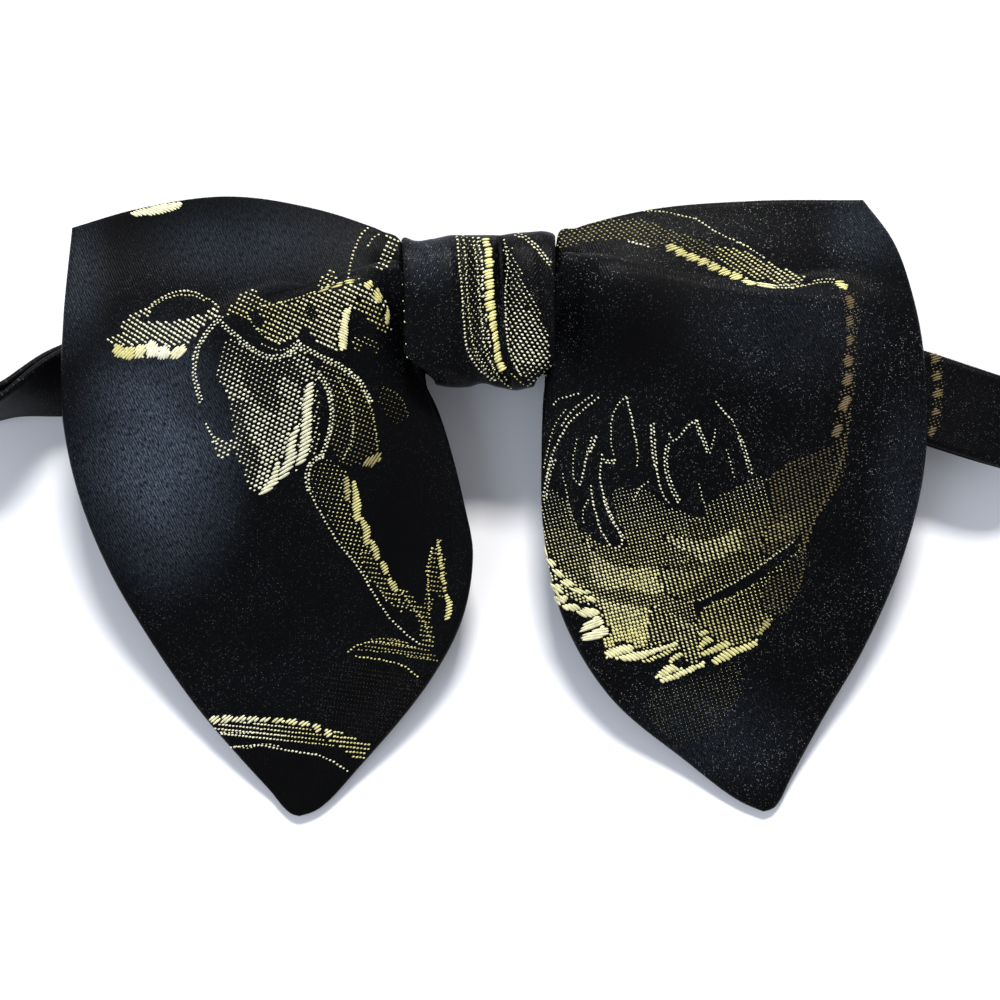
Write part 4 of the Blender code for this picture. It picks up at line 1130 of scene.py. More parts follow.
def wing_base(wing, edges, along, down):
    """One section of a wing's sheet without its pleat, stretched between the wing's four edges."""
    top_rows, inner_rows, outer_rows = edges
    top, inner = smooth_curve(top_rows, along), smooth_curve(inner_rows, along)
    outer = smooth_curve(outer_rows, down)
    down = down[:, None]
    root_top, root_low = np.array(top_rows[0][1:]), np.array(inner_rows[0][1:])
    corner, tip = np.array(top_rows[-1][1:]), np.array(inner_rows[-1][1:])
    root = root_top * (1 - down) + root_low * down
    sheet = (1 - down) * top + down * inner + (1 - along) * root + along * outer
    sheet -= (
        (1 - along) * (1 - down) * root_top
        + (1 - along) * down * root_low
        + along * (1 - down) * corner
        + along * down * tip
    )
    off_edges = smooth_step(down / EDGE_BAND) * smooth_step((1 - down) / EDGE_BAND)
    ends = smooth_step((along - THROAT) / (RELIEF_START - THROAT)) * smooth_step((1 - along) / EDGE_BAND)
    for row_along, row_down, height, along_reach, down_reach in wing["relief"]:
        away = ((along - row_along) / along_reach) ** 2 + ((down - row_down) / down_reach) ** 2
        sheet[:, 2:] += height * BOW_HEIGHT / 2 * np.exp(-away) * ends * off_edges
    gathers = np.sin(GATHERS * math.pi * down) ** 2 * smooth_step(along / THROAT)
    sheet[:, 2:] += GATHER_HEIGHT * gathers * np.exp(-((along / GATHER_REACH) ** 2)) * off_edges
    return sheet


def pleat_path(turn, overlap):
    """Across and height of a pleat: cloth that bends up by turn, runs back and bends level again."""
    turn = max(turn, LEAST_TURN)
    radius = PLEAT_RADIUS * PLEAT_TURN / turn
    turns = np.linspace(0.0, turn, TURN_STEPS + 1)
    up_across, up_height = radius * np.sin(turns), radius * (1 - np.cos(turns))
    run = np.linspace(0.0, overlap, RUN_STEPS + 2)[1:]
    run_across, run_height = up_across[-1] + run * math.cos(turn), up_height[-1] + run * math.sin(turn)
    down_across = run_across[-1] + radius * (math.sin(turn) - np.sin(turns[::-1]))
    down_height = run_height[-1] + radius * (np.cos(turns[::-1]) - math.cos(turn))
    crest_across = down_across[-1] - radius * math.sin(min(turn, math.pi / 2))
    across = np.concatenate([up_across, run_across[:-1], down_across])
    height = np.concatenate([up_height, run_height[:-1], down_height])
    return across, height, crest_across


def wing_section(wing, edges, along):
    """One section of a wing from its top edge to its inner edge, with the pleat rolled into it."""
    crest, fold, overlap = smooth_curve(wing["crest"], along)[0]
    turn = PLEAT_TURN * min(max(fold, 0.0), 1.0)
    overlap = max(overlap, LEAST_OVERLAP) * PLEAT_RADIUS
    near = wing_base(wing, edges, along, np.array([crest - CREST_PROBE, crest + CREST_PROBE]))
    stretch = np.linalg.norm(near[1] - near[0]) / (2 * CREST_PROBE)
    across, height, crest_across = pleat_path(turn, overlap)
    pleat = crest + (across - crest_across) / stretch
    edge = np.array(EDGE_STEPS)
    upper = np.concatenate([edge, np.linspace(DOWN_INSET, pleat[0], UPPER_STEPS + 1)[:-1]])
    share = np.linspace(0.0, 1.0 - DOWN_INSET, LOWER_STEPS + 1)[1:]
    share = np.concatenate([share, 1.0 - edge[::-1]])
    lower = pleat[-1] + (1.0 - pleat[-1]) * share
    down = np.concatenate([upper, pleat, lower])
    points = wing_base(wing, edges, along, down)
    points[len(upper) : len(upper) + len(pleat), 2] += height
    points[len(upper) + len(pleat) :, 2] += height[-1] * (1 - smooth_step(share / PLEAT_FADE))
    return points


def wing_cloth(wing):
    """Middle layer of a wing, its half thickness and its unfolded places."""
    edges = wing_edges(wing)
    in_throat = np.linspace(0.0, THROAT, THROAT_STEPS + 1)[:-1]
    steps = np.linspace(0.0, 1.0 - ALONG_INSET, ALONG_STEPS) ** ALONG_EASE
    outside = THROAT + (1 - THROAT) * np.concatenate([steps, 1.0 - np.array(EDGE_STEPS[::-1])])
    alongs = np.concatenate([in_throat, outside])
    points = np.array([wing_section(wing, edges, along) for along in alongs])
    down_length, along_length = length_along(points), length_along(points.swapaxes(0, 1)).T
    to_edge = np.minimum(down_length, down_length[:, -1:] - down_length)
    to_edge = np.minimum(to_edge, along_length[-1:] - along_length)
    padding = PADDING_AT_KNOT + PADDING_GAIN * smooth_step(alongs / PADDING_REACH)[:, None]
    half = WING_THICKNESS / 2 * padding * rounded(to_edge, WING_RIM)
    half[0] = 0.0
    # Below the pleat the cloth lies flat in its own place, and the rest is unrolled upwards from there
    fixed = len(EDGE_STEPS) + UPPER_STEPS + 2 * (TURN_STEPS + 1) + RUN_STEPS - 1
    flat = points[..., :2].copy()
    towards = unit(points[:, 0, :2] - points[:, fixed, :2])
    beyond = down_length[:, fixed : fixed + 1] - down_length[:, :fixed]
    flat[:, :fixed] = flat[:, fixed : fixed + 1] + beyond[..., None] * towards[:, None]
    return points, half, flat


# Knot, strap and clasp


def knot_cloth():
    """Middle layer of the band round the middle of the bow, with upright creases on its front."""
    lip = np.array(KNOT_LIP_STEPS)
    acrosses = np.concatenate([-lip[::-1], np.linspace(-KNOT_FIELD, KNOT_FIELD, KNOT_STEPS), lip])
    angles = np.linspace(0.0, 2 * math.pi, KNOT_ROUND_STEPS, endpoint=False)
    cosines, sines = np.cos(angles), np.sin(angles)
    power = 2.0 / np.where(sines >= 0, KNOT_FRONT_POWER, KNOT_BACK_POWER)
    rings = []
    for across in acrosses:
        top, bottom, front = knot_section(across)
        depth = np.where(sines >= 0, front - KNOT_MIDDLE, KNOT_DEPTH / 2)
        y = (top + bottom) / 2 + (top - bottom) / 2 * oblong(cosines, power)
        z = KNOT_MIDDLE + depth * oblong(sines, power)
        share_down = (top - y) / (top - bottom)
        for at_top, at_bottom, sink, reach in KNOT_CREASES:
            away = (across - (at_top + (at_bottom - at_top) * share_down)) / reach
            z -= sink * np.exp(-(away**2)) * smooth_step((sines - CREASE_START) / CREASE_BLEND)
        x = KNOT_ACROSS + across * knot_half_width(1 if across > 0 else -1, y - bottom)
        rings.append(np.column_stack([x, y, z]))
    outside = np.array(rings)
    normals = grid_normals(outside, True)
    if np.einsum("ijk,ijk->", normals, outside - outside.mean(axis=1, keepdims=True)) < 0:
        normals = -normals
    points = outside - normals * KNOT_WALL / 2
    to_mouth = np.minimum(acrosses + 1, 1 - acrosses) * KNOT_WIDTH / 2
    half = np.broadcast_to((KNOT_WALL / 2 * rounded(to_mouth, KNOT_RIM))[:, None], points.shape[:2])
    wrapped = length_along(np.concatenate([points, points[:, :1]], axis=1))[:, :-1]
    return points, half, np.stack([points[..., 0], wrapped], axis=-1)


def strap_cloth():
    """Middle layer of the flat neck band from end to end, its half thickness and its unrolled places."""
    half_bow = BOW_WIDTH / 2
    in_clasp = [(x, CLASP_MIDDLE, 0.0, 0.0) for x in (STRAP_END_GAP / 2, CLASP_LENGTH / 2 + GAP)]
    stations = list(in_clasp)
    for across, past, level, lean, aside in STRAP_RUN:
        x = across * half_bow + math.copysign(past * STRAP_REACH, across)
        stations.append((x, STRAP_LOW + level * (STRAP_HIGH - STRAP_LOW), lean, aside * STRAP_WIDTH))
    stations += [(-x, *rest) for x, *rest in in_clasp[::-1]]
    stations = np.array(stations)
    place = length_along(stations[:, (0, 1, 3)])
    end = np.array(STRAP_END_STEPS)
    at = np.linspace(STRAP_END_INSET, place[-1] - STRAP_END_INSET, STRAP_STEPS)
    at = np.concatenate([end, at, place[-1] - end[::-1]])
    x, low_edge, lean, aside = smooth_curve(np.column_stack([place, stations]), at).T
    low_edge = np.maximum(low_edge, STRAP_LOW)
    tilt = np.radians(lean)
    share = x / half_bow
    probes = (share, share + STRAP_PROBE)
    drop, ahead = (smooth_curve(STRAP_DROP, probe)[:, 0] * BOW_HEIGHT / 2 for probe in probes)
    slope = (drop - ahead) / (STRAP_PROBE * half_bow)
    middle = np.column_stack([x, KNOT_UP - drop + aside, low_edge + np.sin(tilt) * STRAP_WIDTH / 2])
    level = unit(np.column_stack([-slope, np.ones(len(x)), np.zeros(len(x))]))
    width = np.cos(tilt)[:, None] * level + np.sin(tilt)[:, None] * np.array([0.0, 0.0, 1.0])
    half_side = np.array(STRAP_SIDE_STEPS)
    across = np.concatenate([-half_side[::-1], [0.0], half_side])
    points = middle[:, None] + width[:, None] * across[None, :, None] * STRAP_WIDTH
    to_edge = (0.5 - np.abs(across)) * STRAP_WIDTH
    to_end = np.minimum(at, place[-1] - at)
    hem = np.exp(-((to_edge - STRAP_HEM_INSET) / STRAP_HEM_REACH) ** 2)
    profile = rounded(to_edge, STRAP_RIM) * (STRAP_FLAT_SHARE + STRAP_HEM_SHARE * hem)
    half = STRAP_THICKNESS / 2 * profile[None, :] * rounded(to_end, STRAP_RIM)[:, None]
    run = length_along(middle)
    return points, half, np.stack(np.broadcast_arrays(run[:, None], across * STRAP_WIDTH), axis=-1)


def clasp_mesh():
    """Moulded sleeve: a rounded block with thickened lips, grip ribs and a slot right through."""
    slot_half = np.array([STRAP_WIDTH / 2 + GAP, CLASP_SLOT / 2])
    angle = np.linspace(0.0, 2 * math.pi, CLASP_ROUND_STEPS, endpoint=False)
    half_length = CLASP_LENGTH / 2
    rings = []

    def add_ring(share, half, power, lip, waist=0.0):
        edge = rounded((1 - abs(share)) * half_length, CLASP_LIP_RADIUS)
        across, up = half - (lip * (1 - edge) + waist)
        y, z = across * oblong(np.cos(angle), power), up * oblong(np.sin(angle), power)
        x = np.full(CLASP_ROUND_STEPS, share * half_length)
        rings.append(np.column_stack([x, y + KNOT_UP, z + CLASP_MIDDLE]))

    for share in np.linspace(-1.0, 1.0, CLASP_OUTER_STEPS):
        waist = CLASP_WAIST_DEPTH * smooth_step((CLASP_WAIST_END - abs(share)) / CLASP_WAIST_BLEND)
        if abs(share) < CLASP_RIBS_END:
            phase = share * half_length / CLASP_RIB_PITCH * 2 * math.pi
            waist -= CLASP_RIB_HEIGHT * np.cos(phase) ** CLASP_RIB_SHARPNESS
        add_ring(share, slot_half + CLASP_WALL, CLASP_OUTER_POWER, CLASP_OUTER_LIP, waist)
    for share in np.linspace(1.0, -1.0, CLASP_SLOT_STEPS):
        add_ring(share, slot_half, CLASP_SLOT_POWER, -CLASP_SLOT_LIP)
    corners = np.concatenate(rings)
    grid = np.arange(len(corners)).reshape(len(rings), -1)
    mesh, _ = closed_mesh("clasp_sleeve", corners, grid_quads(np.concatenate([grid, grid[:1]]), True))
    mesh.set_sharp_from_angle(angle=CLASP_SHARP_ANGLE)
    return mesh


# Brocade. Marks are rows of x, y, lean, length, width and tone


def through_points(points, closed=False):
    """Smooth line through a drawing's points."""
    points = np.array(points, float)
    if closed:
        points = np.concatenate([points[-2:], points, points[:3]])
    place = length_along(points[:, :2])
    if closed:
        at = np.linspace(place[2], place[-3], (len(points) - 4) * LINE_STEPS + 1)[:-1]
    else:
        at = np.linspace(place[0], place[-1], (len(points) - 1) * LINE_STEPS + 1)
    return smooth_curve(np.column_stack([place, points]), at)


def drawn_line(points):
    """Smooth line through a drawing's points, as rows that start with the distance along it."""
    line = through_points(points)
    return np.column_stack([length_along(line[:, :2]), line])


def inside(outline, x, y):
    """Which of the places lie inside a closed line."""
    hits = np.zeros(x.shape, bool)
    for (ax, ay), (bx, by) in zip(outline, np.roll(outline, -1, axis=0)):
        if ay != by:
            crosses = (ay > y) != (by > y)
            hits ^= crosses & (x < (bx - ax) * (y - ay) / (by - ay) + ax)
    return hits


def field_dots(field, random):
    """Outline of one field, and marks for the dots on its lattice."""
    lattice, sizes, tones, fade, outline = field
    lean_a, pitch_a, lean_b, pitch_b, dot_lean, stretch = LATTICES[lattice]
    edge = through_points(outline, closed=True)
    ways = np.array([np.multiply(pitch_a, direction(lean_a)), np.multiply(pitch_b, direction(lean_b))])
    box = np.array([edge.min(axis=0), edge.max(axis=0)])
    corners = np.array([(x, y) for x in box[:, 0] for y in box[:, 1]]) @ np.linalg.inv(ways)
    low, high = np.floor(corners.min(axis=0)).astype(int), np.ceil(corners.max(axis=0)).astype(int)
    first, second = np.meshgrid(np.arange(low[0], high[0] + 1), np.arange(low[1], high[1] + 1))
    spots = np.column_stack([first.ravel(), second.ravel()]) @ ways
    spots += random.normal(0, DOT_JITTER, spots.shape)
    spots = spots[inside(edge, spots[:, 0], spots[:, 1])]
    start, end = np.array(fade[:2], float), np.array(fade[2:], float)
    share = np.clip((spots - start) @ (end - start) / ((end - start) @ (end - start)), 0, 1)
    size = (sizes[0] + (sizes[1] - sizes[0]) * share) * random.uniform(*DOT_SPREAD, len(spots))
    tone = tones[0] + (tones[1] - tones[0]) * share
    return edge, np.column_stack([spots, np.full(len(spots), float(dot_lean)), size * stretch, size, tone])


def painted_dots(random):
    """Marks for the dots of all fields, where each field takes the place of the ones under it."""
    dots = np.zeros((0, 6))
    for field in FIELDS:
        edge, laid = field_dots(field, random)
        dots = dots[~inside(edge, dots[:, 0], dots[:, 1])]
        if field[1][0] > 0:
            dots = np.concatenate([dots, laid])
    return dots


def row_dots(row, random):
    """Marks for dots in rows along a line."""
    count, size, tone, lean, points = row
    rows = drawn_line(points)
    found = []
    for lane in range(count):
        at = np.arange(lane * ROW_STEP / 2, rows[-1, 0], ROW_STEP)
        here, ahead = smooth_curve(rows, at), smooth_curve(rows, at + LINE_PROBE)
        way = unit(ahead - here + LINE_END_NUDGE)
        aside = np.column_stack([-way[:, 1], way[:, 0]]) * (lane - (count - 1) / 2) * LANE_GAP
        spots = here + aside + random.normal(0, ROW_JITTER, here.shape)
        sizes = size * random.uniform(*ROW_SPREAD, len(at))
        leans, tones = np.full(len(at), float(lean)), np.full(len(at), tone)
        found.append(np.column_stack([spots, leans, sizes, sizes, tones]))
    return np.concatenate(found)


def patch_floats(patch, random):
    """Marks for long floats side by side that fill a patch, each from edge to edge."""
    lean, pitch, thread, tone, outline = patch
    edge = np.array(outline, float)
    cosine, sine = direction(lean)
    way, aside = np.array([cosine, sine]), np.array([-sine, cosine])
    along, across = edge @ way, edge @ aside
    sides = list(zip(along, across, np.roll(along, -1), np.roll(across, -1)))
    found = []
    for level in np.arange(across.min() + pitch * PATCH_START, across.max(), pitch):
        level += random.normal(0, PATCH_JITTER)
        crossed = [side for side in sides if (side[1] > level) != (side[3] > level)]
        cuts = sorted(
            start + (end - start) * (level - start_level) / (end_level - start_level)
            for start, start_level, end, end_level in crossed
        )
        for first, last in zip(cuts[::2], cuts[1::2]):
            length = last - first + random.uniform(*PATCH_OVERHANG)
            if length > LEAST_FLOAT:
                middle = way * ((first + last) / 2 + random.normal(0, PATCH_SLIDE)) + aside * level
                found.append((*middle, lean, length, thread, tone))
    return np.array(found).reshape(-1, 6)


def stack_floats(stack, random):
    """Marks for long floats side by side along a line, each crossing it."""
    lean, pitch, thread, group, gap, tone, points = stack
    rows = drawn_line(points)
    cosine, sine = direction(lean)
    found, at, probe = [], pitch / 2, LINE_PROBE / 2
    while at < rows[-1, 0]:
        x, y, width = smooth_curve(rows, at)[0]
        way = unit(smooth_curve(rows, at + probe)[0, :2] - smooth_curve(rows, at - probe)[0, :2])
        crossing = max(abs(cosine * way[1] - sine * way[0]), LEAST_CROSSING)
        length = width / crossing * random.uniform(*STACK_SPREAD)
        slide = random.normal(0, STACK_SLIDE)
        found.append((x + slide * cosine, y + slide * sine, lean, length, thread, tone))
        at += pitch / crossing + (gap / crossing if group and len(found) % group == 0 else 0.0)
    return np.array(found)


def brocade_marks():
    """All the marks of the brocade: the dots that no float covers, and the floats."""
    sizes = bpy.context.scene.bow_tie_sizes
    random = np.random.default_rng(sizes.seed)
    dots = np.concatenate([painted_dots(random)] + [row_dots(row, random) for row in ROWS])
    dots[:, 3] *= sizes.dot_length / THOUSANDTH
    dots[:, 4] *= sizes.dot_width / THOUSANDTH
    floats = [patch_floats(patch, random) for patch in PATCHES]
    floats = np.concatenate(floats + [stack_floats(stack, random) for stack in STACKS])
    covered = np.zeros(len(dots), bool)
    for x, y, lean, long, wide, _ in floats:
        cosine, sine = direction(lean)
        away_x, away_y = dots[:, 0] - x, dots[:, 1] - y
        under = np.abs(away_x * cosine + away_y * sine) < long / 2 + FLOAT_MARGIN[0]
        beside = np.abs(-away_x * sine + away_y * cosine) < wide / 2 + FLOAT_MARGIN[1]
        covered |= under & beside
    return dots[~covered], floats


def view_way(x, y):
    """Direction of the camera's line through a place in the view."""
    scale = SENSOR_MM / LENS_MM / VIEW_UNITS
    return Vector(((x - VIEW_UNITS / 2) * scale, (VIEW_UNITS / 2 - y) * scale, -1.0)).normalized()


def lay_marks(marks, stand):
    """Place each mark on the piece that the view shows there. Gives place, turn, size and tone by piece."""
    depsgraph = bpy.context.evaluated_depsgraph_get()
    trees = {label: BVHTree.FromObject(bpy.data.objects[name], depsgraph) for label, name in CARRIERS.items()}
    raise_by = bpy.context.scene.bow_tie_sizes.thread_height * stand
    start = Vector(CAMERA_PLACE)
    laid = {label: [] for label in CARRIERS}
    for x, y, lean, length, width, tone in marks:
        way = view_way(x, y)
        hits = [(label, *tree.ray_cast(start, way)) for label, tree in trees.items()]
        hits = [hit for hit in hits if hit[1] is not None]
        if not hits:
            continue
        label, spot, normal, _, distance = min(hits, key=lambda hit: hit[4])
        if -normal.dot(way) < LEAST_FACING:
            continue
        per_mark = THOUSANDTH * distance / SATIN_DISTANCE
        cosine, sine = direction(lean)
        wanted = Vector((cosine, -sine, 0.0))
        along = (wanted - normal * wanted.dot(normal)).normalized()
        turn = Matrix((along, normal.cross(along), normal)).transposed().to_euler()
        size = (length * per_mark, width * per_mark, 2 * raise_by)
        laid[label].append((spot + normal * raise_by * THREAD_LIFT, turn, size, tone))
    return laid


# Nodes


def feed(tree, socket, value):
    """Link a node's input to another socket, or set its own value."""
    if isinstance(value, NodeSocket):
        tree.links.new(value, socket)
    else:
        socket.default_value = value


def add_node(tree, kind, inputs=None, **settings):
    """Node with its settings and its inputs, each a socket or a value."""
    node = tree.nodes.new(kind)
    for label, value in settings.items():
        setattr(node, label, value)
    for label, value in (inputs or {}).items():
        feed(tree, node.inputs[label], value)
    return node


def new_tree(name, kind, inputs, outputs):
    """Empty node tree with named sockets. Gives it, what it is given and what it puts out."""
    tree = bpy.data.node_groups.new(name, kind)
    for label, socket_kind, value in inputs:
        socket = tree.interface.new_socket(label, in_out="INPUT", socket_type="NodeSocket" + socket_kind)
        if value is not None:
            socket.default_value = value
    for label, socket_kind in outputs:
        tree.interface.new_socket(label, in_out="OUTPUT", socket_type="NodeSocket" + socket_kind)
    return tree, add_node(tree, "NodeGroupInput").outputs, add_node(tree, "NodeGroupOutput").inputs


def threads_tree():
    """Node tree that puts one thread grain on each point, turned and sized by the point's attributes."""
    tree, given, out = new_tree(
        "woven_threads",
        "GeometryNodeTree",
        (("Points", "Geometry", None), ("Sides", "Int", THREAD_SIDES), ("Rings", "Int", 3),
         ("Thread", "Material", None)),
        (("Threads", "Geometry"),),
    )
    turn, size = (
        add_node(tree, "GeometryNodeInputNamedAttribute", {"Name": name}, data_type="FLOAT_VECTOR")
        for name in ("turn", "size")
    )
    grain = {"Segments": given["Sides"], "Rings": given["Rings"], "Radius": 0.5}
    grain = add_node(tree, "GeometryNodeMeshUVSphere", grain).outputs["Mesh"]
    lying = {"Geometry": grain, "Rotation": (0.0, math.pi / 2, 0.0)}
    lying = add_node(tree, "GeometryNodeTransform", lying).outputs["Geometry"]
    threads = {"Points": given["Points"], "Instance": lying, "Rotation": turn.outputs["Attribute"]}
    threads["Scale"] = size.outputs["Attribute"]
    threads = add_node(tree, "GeometryNodeInstanceOnPoints", threads).outputs["Instances"]
    threads = add_node(tree, "GeometryNodeRealizeInstances", {"Geometry": threads}).outputs["Geometry"]
    threads = add_node(tree, "GeometryNodeSetShadeSmooth", {"Geometry": threads}).outputs["Geometry"]
    threads = {"Geometry": threads, "Material": given["Thread"]}
    threads = add_node(tree, "GeometryNodeSetMaterial", threads).outputs["Geometry"]
    feed(tree, out["Threads"], threads)
    return tree


def socket_of(tree, name):
    """Identifier of a tree's named input."""
    for item in tree.interface.items_tree:
        if item.item_type == "SOCKET" and item.in_out == "INPUT" and item.name == name:
            return item.identifier
    raise KeyError(name)


def threads_mesh(name, laid, tree, inputs):
    """Mesh of threads from their places, turns, sizes and tones, made by the node tree."""
    places, turns, sizes, tones = zip(*laid)
    points = bpy.data.meshes.new(name + "_points")
    points.from_pydata(places, [], [])
    for label, vectors in (("turn", turns), ("size", sizes)):
        values = [number for vector in vectors for number in vector]
        points.attributes.new(label, "FLOAT_VECTOR", "POINT").data.foreach_set("vector", values)
    points.attributes.new("tone", "FLOAT", "POINT").data.foreach_set("value", tones)
    carrier = bpy.data.objects.new(name + "_points", points)
    bpy.context.scene.collection.objects.link(carrier)
    weave = carrier.modifiers.new("threads", "NODES")
    weave.node_group = tree
    for label, value in inputs.items():
        weave[socket_of(tree, label)] = value
    depsgraph = bpy.context.evaluated_depsgraph_get()
    shown = carrier.evaluated_get(depsgraph)
    mesh = bpy.data.meshes.new_from_object(shown, preserve_all_data_layers=True, depsgraph=depsgraph)
    bpy.data.objects.remove(carrier, do_unlink=True)
    for label in ("turn", "size"):
        if label in mesh.attributes:
            mesh.attributes.remove(mesh.attributes[label])
    mesh.name = name
    return mesh


# Materials


def maths(tree, operation, *values, clamp=False):
    """Result of a Math node fed by sockets or numbers."""
    node = add_node(tree, "ShaderNodeMath", dict(enumerate(values)), operation=operation, use_clamp=clamp)
    return node.outputs[0]


def product(tree, first, *others, clamp=False):
    """Product of several sockets or numbers, kept between 0 and 1 at its end where clamp is set."""
    for n, value in enumerate(others, 1):
        first = maths(tree, "MULTIPLY", first, value, clamp=clamp and n == len(others))
    return first


def vector_maths(tree, operation, *values):
    """Math node for vectors, fed by sockets or triples of numbers."""
    return add_node(tree, "ShaderNodeVectorMath", dict(enumerate(values)), operation=operation)


def map_range(tree, value, low, high, to_low, to_high, **settings):
    """Value carried from one span to another."""
    inputs = {"Value": value, "From Min": low, "From Max": high, "To Min": to_low, "To Max": to_high}
    return add_node(tree, "ShaderNodeMapRange", inputs, **settings).outputs["Result"]


def noise(tree, vector, scale, detail, **more):
    """Share from a Noise texture."""
    inputs = {"Vector": vector, "Scale": scale, "Detail": detail, **more}
    return add_node(tree, "ShaderNodeTexNoise", inputs).outputs["Fac"]


def waves(tree, vector, scale, bands_direction):
    """Wave texture of slightly bent bands."""
    inputs = {"Vector": vector, "Scale": scale, "Distortion": 3.0, "Detail": 2.0}
    return add_node(tree, "ShaderNodeTexWave", inputs, bands_direction=bands_direction)


def bump(tree, height, strength, distance):
    """Normal raised by a height."""
    inputs = {"Strength": strength, "Distance": distance, "Height": height}
    return add_node(tree, "ShaderNodeBump", inputs).outputs["Normal"]


def mix_colour(tree, share, first, second, blend="MIX"):
    """Mix of two colours, each a socket or three numbers."""
    pair = [value if isinstance(value, NodeSocket) else (*value, 1.0) for value in (first, second)]
    inputs = dict(zip(MIX_INPUTS, (share, *pair)))
    return add_node(tree, "ShaderNodeMix", inputs, data_type="RGBA", blend_type=blend).outputs[MIX_RESULT]


def shared(name, make):
    """A material or node tree that is made once and used by several pieces."""
    for store in (bpy.data.materials, bpy.data.node_groups):
        if name in store:
            return store[name]
    return make()


def new_material(name):
    """Material with a Principled shader. Gives it, its tree and its object coordinates."""
    material = bpy.data.materials.new(name)
    material.use_nodes = True
    tree = material.node_tree
    return material, tree, add_node(tree, "ShaderNodeTexCoord").outputs["Object"]


def finish_material(material, inputs):
    """Feed a material's Principled shader, and give the material."""
    tree = material.node_tree
    for label, value in inputs.items():
        feed(tree, tree.nodes["Principled BSDF"].inputs[label], value)
    return material


def satin_group():
    """Satin weave: diagonal ribs, fine threads, sparse bright points for the painted glints, and slow clouds.
    """
    tree, given, out = new_tree(
        "satin_weave",
        "ShaderNodeTree",
        (("Vector", "Vector", None), ("Ribs per unit", "Float", 340.0), ("Points per unit", "Float", 430.0)),
        (("Rib", "Float"), ("Thread", "Float"), ("Points", "Float"), ("Cloud", "Float"), ("Height", "Float")),
    )
    turned = {"Vector": given["Vector"], "Angle": TWILL_ANGLE}
    turned = add_node(tree, "ShaderNodeVectorRotate", turned, rotation_type="Z_AXIS").outputs["Vector"]
    rib = waves(tree, turned, product(tree, given["Ribs per unit"], WAVE_PERIOD), "X")
    rib.inputs["Detail Scale"].default_value = 2.0
    rib = rib.outputs["Fac"]
    stretched = vector_maths(tree, "MULTIPLY", turned, (1.0, 0.32, 1.0)).outputs["Vector"]
    thread = noise(tree, stretched, product(tree, given["Ribs per unit"], 1.5), 3.0, Roughness=0.65)
    cells = {"Vector": given["Vector"], "Scale": given["Points per unit"]}
    cells = add_node(tree, "ShaderNodeTexVoronoi", cells, feature="F1").outputs
    split = add_node(tree, "ShaderNodeSeparateColor", {"Color": cells["Color"]})
    chosen = maths(tree, "POWER", split.outputs["Red"], 5.0)
    near = map_range(tree, cells["Distance"], *GLINT_SPAN)
    results = {
        "Rib": rib,
        "Thread": thread,
        "Points": product(tree, chosen, near),
        "Cloud": noise(tree, given["Vector"], 14.0, 3.0),
        "Height": maths(tree, "ADD", product(tree, rib, 0.6), thread),
    }
    for label, value in results.items():
        feed(tree, out[label], value)
    return tree


def patch_group():
    """Soft round patch: full strength in its middle and none past its radii."""
    tree, given, out = new_tree(
        "soft_patch",
        "ShaderNodeTree",
        (("Place", "Vector", None), ("Centre", "Vector", None), ("Radii", "Vector", None),
         ("Strength", "Float", 1.0)),
        (("Share", "Float"),),
    )
    away = vector_maths(tree, "SUBTRACT", given["Place"], given["Centre"]).outputs["Vector"]
    away = vector_maths(tree, "DIVIDE", away, given["Radii"]).outputs["Vector"]
    away = vector_maths(tree, "LENGTH", away).outputs["Value"]
    share = map_range(tree, away, 1.0, 0.15, 0.0, given["Strength"], interpolation_type="SMOOTHSTEP")
    feed(tree, out["Share"], share)
    return tree


def soft_patches(tree, place, patches):
    """Sum of soft round patches, each given by its centre, its radii and its strength."""
    total = None
    for centre, radii, strength in patches:
        inputs = {"Place": place, "Centre": centre, "Radii": radii, "Strength": strength}
        patch = add_node(tree, "ShaderNodeGroup", inputs, node_tree=shared("soft_patch", patch_group))
        patch = patch.outputs["Share"]
        total = patch if total is None else maths(tree, "ADD", total, patch)
    return total


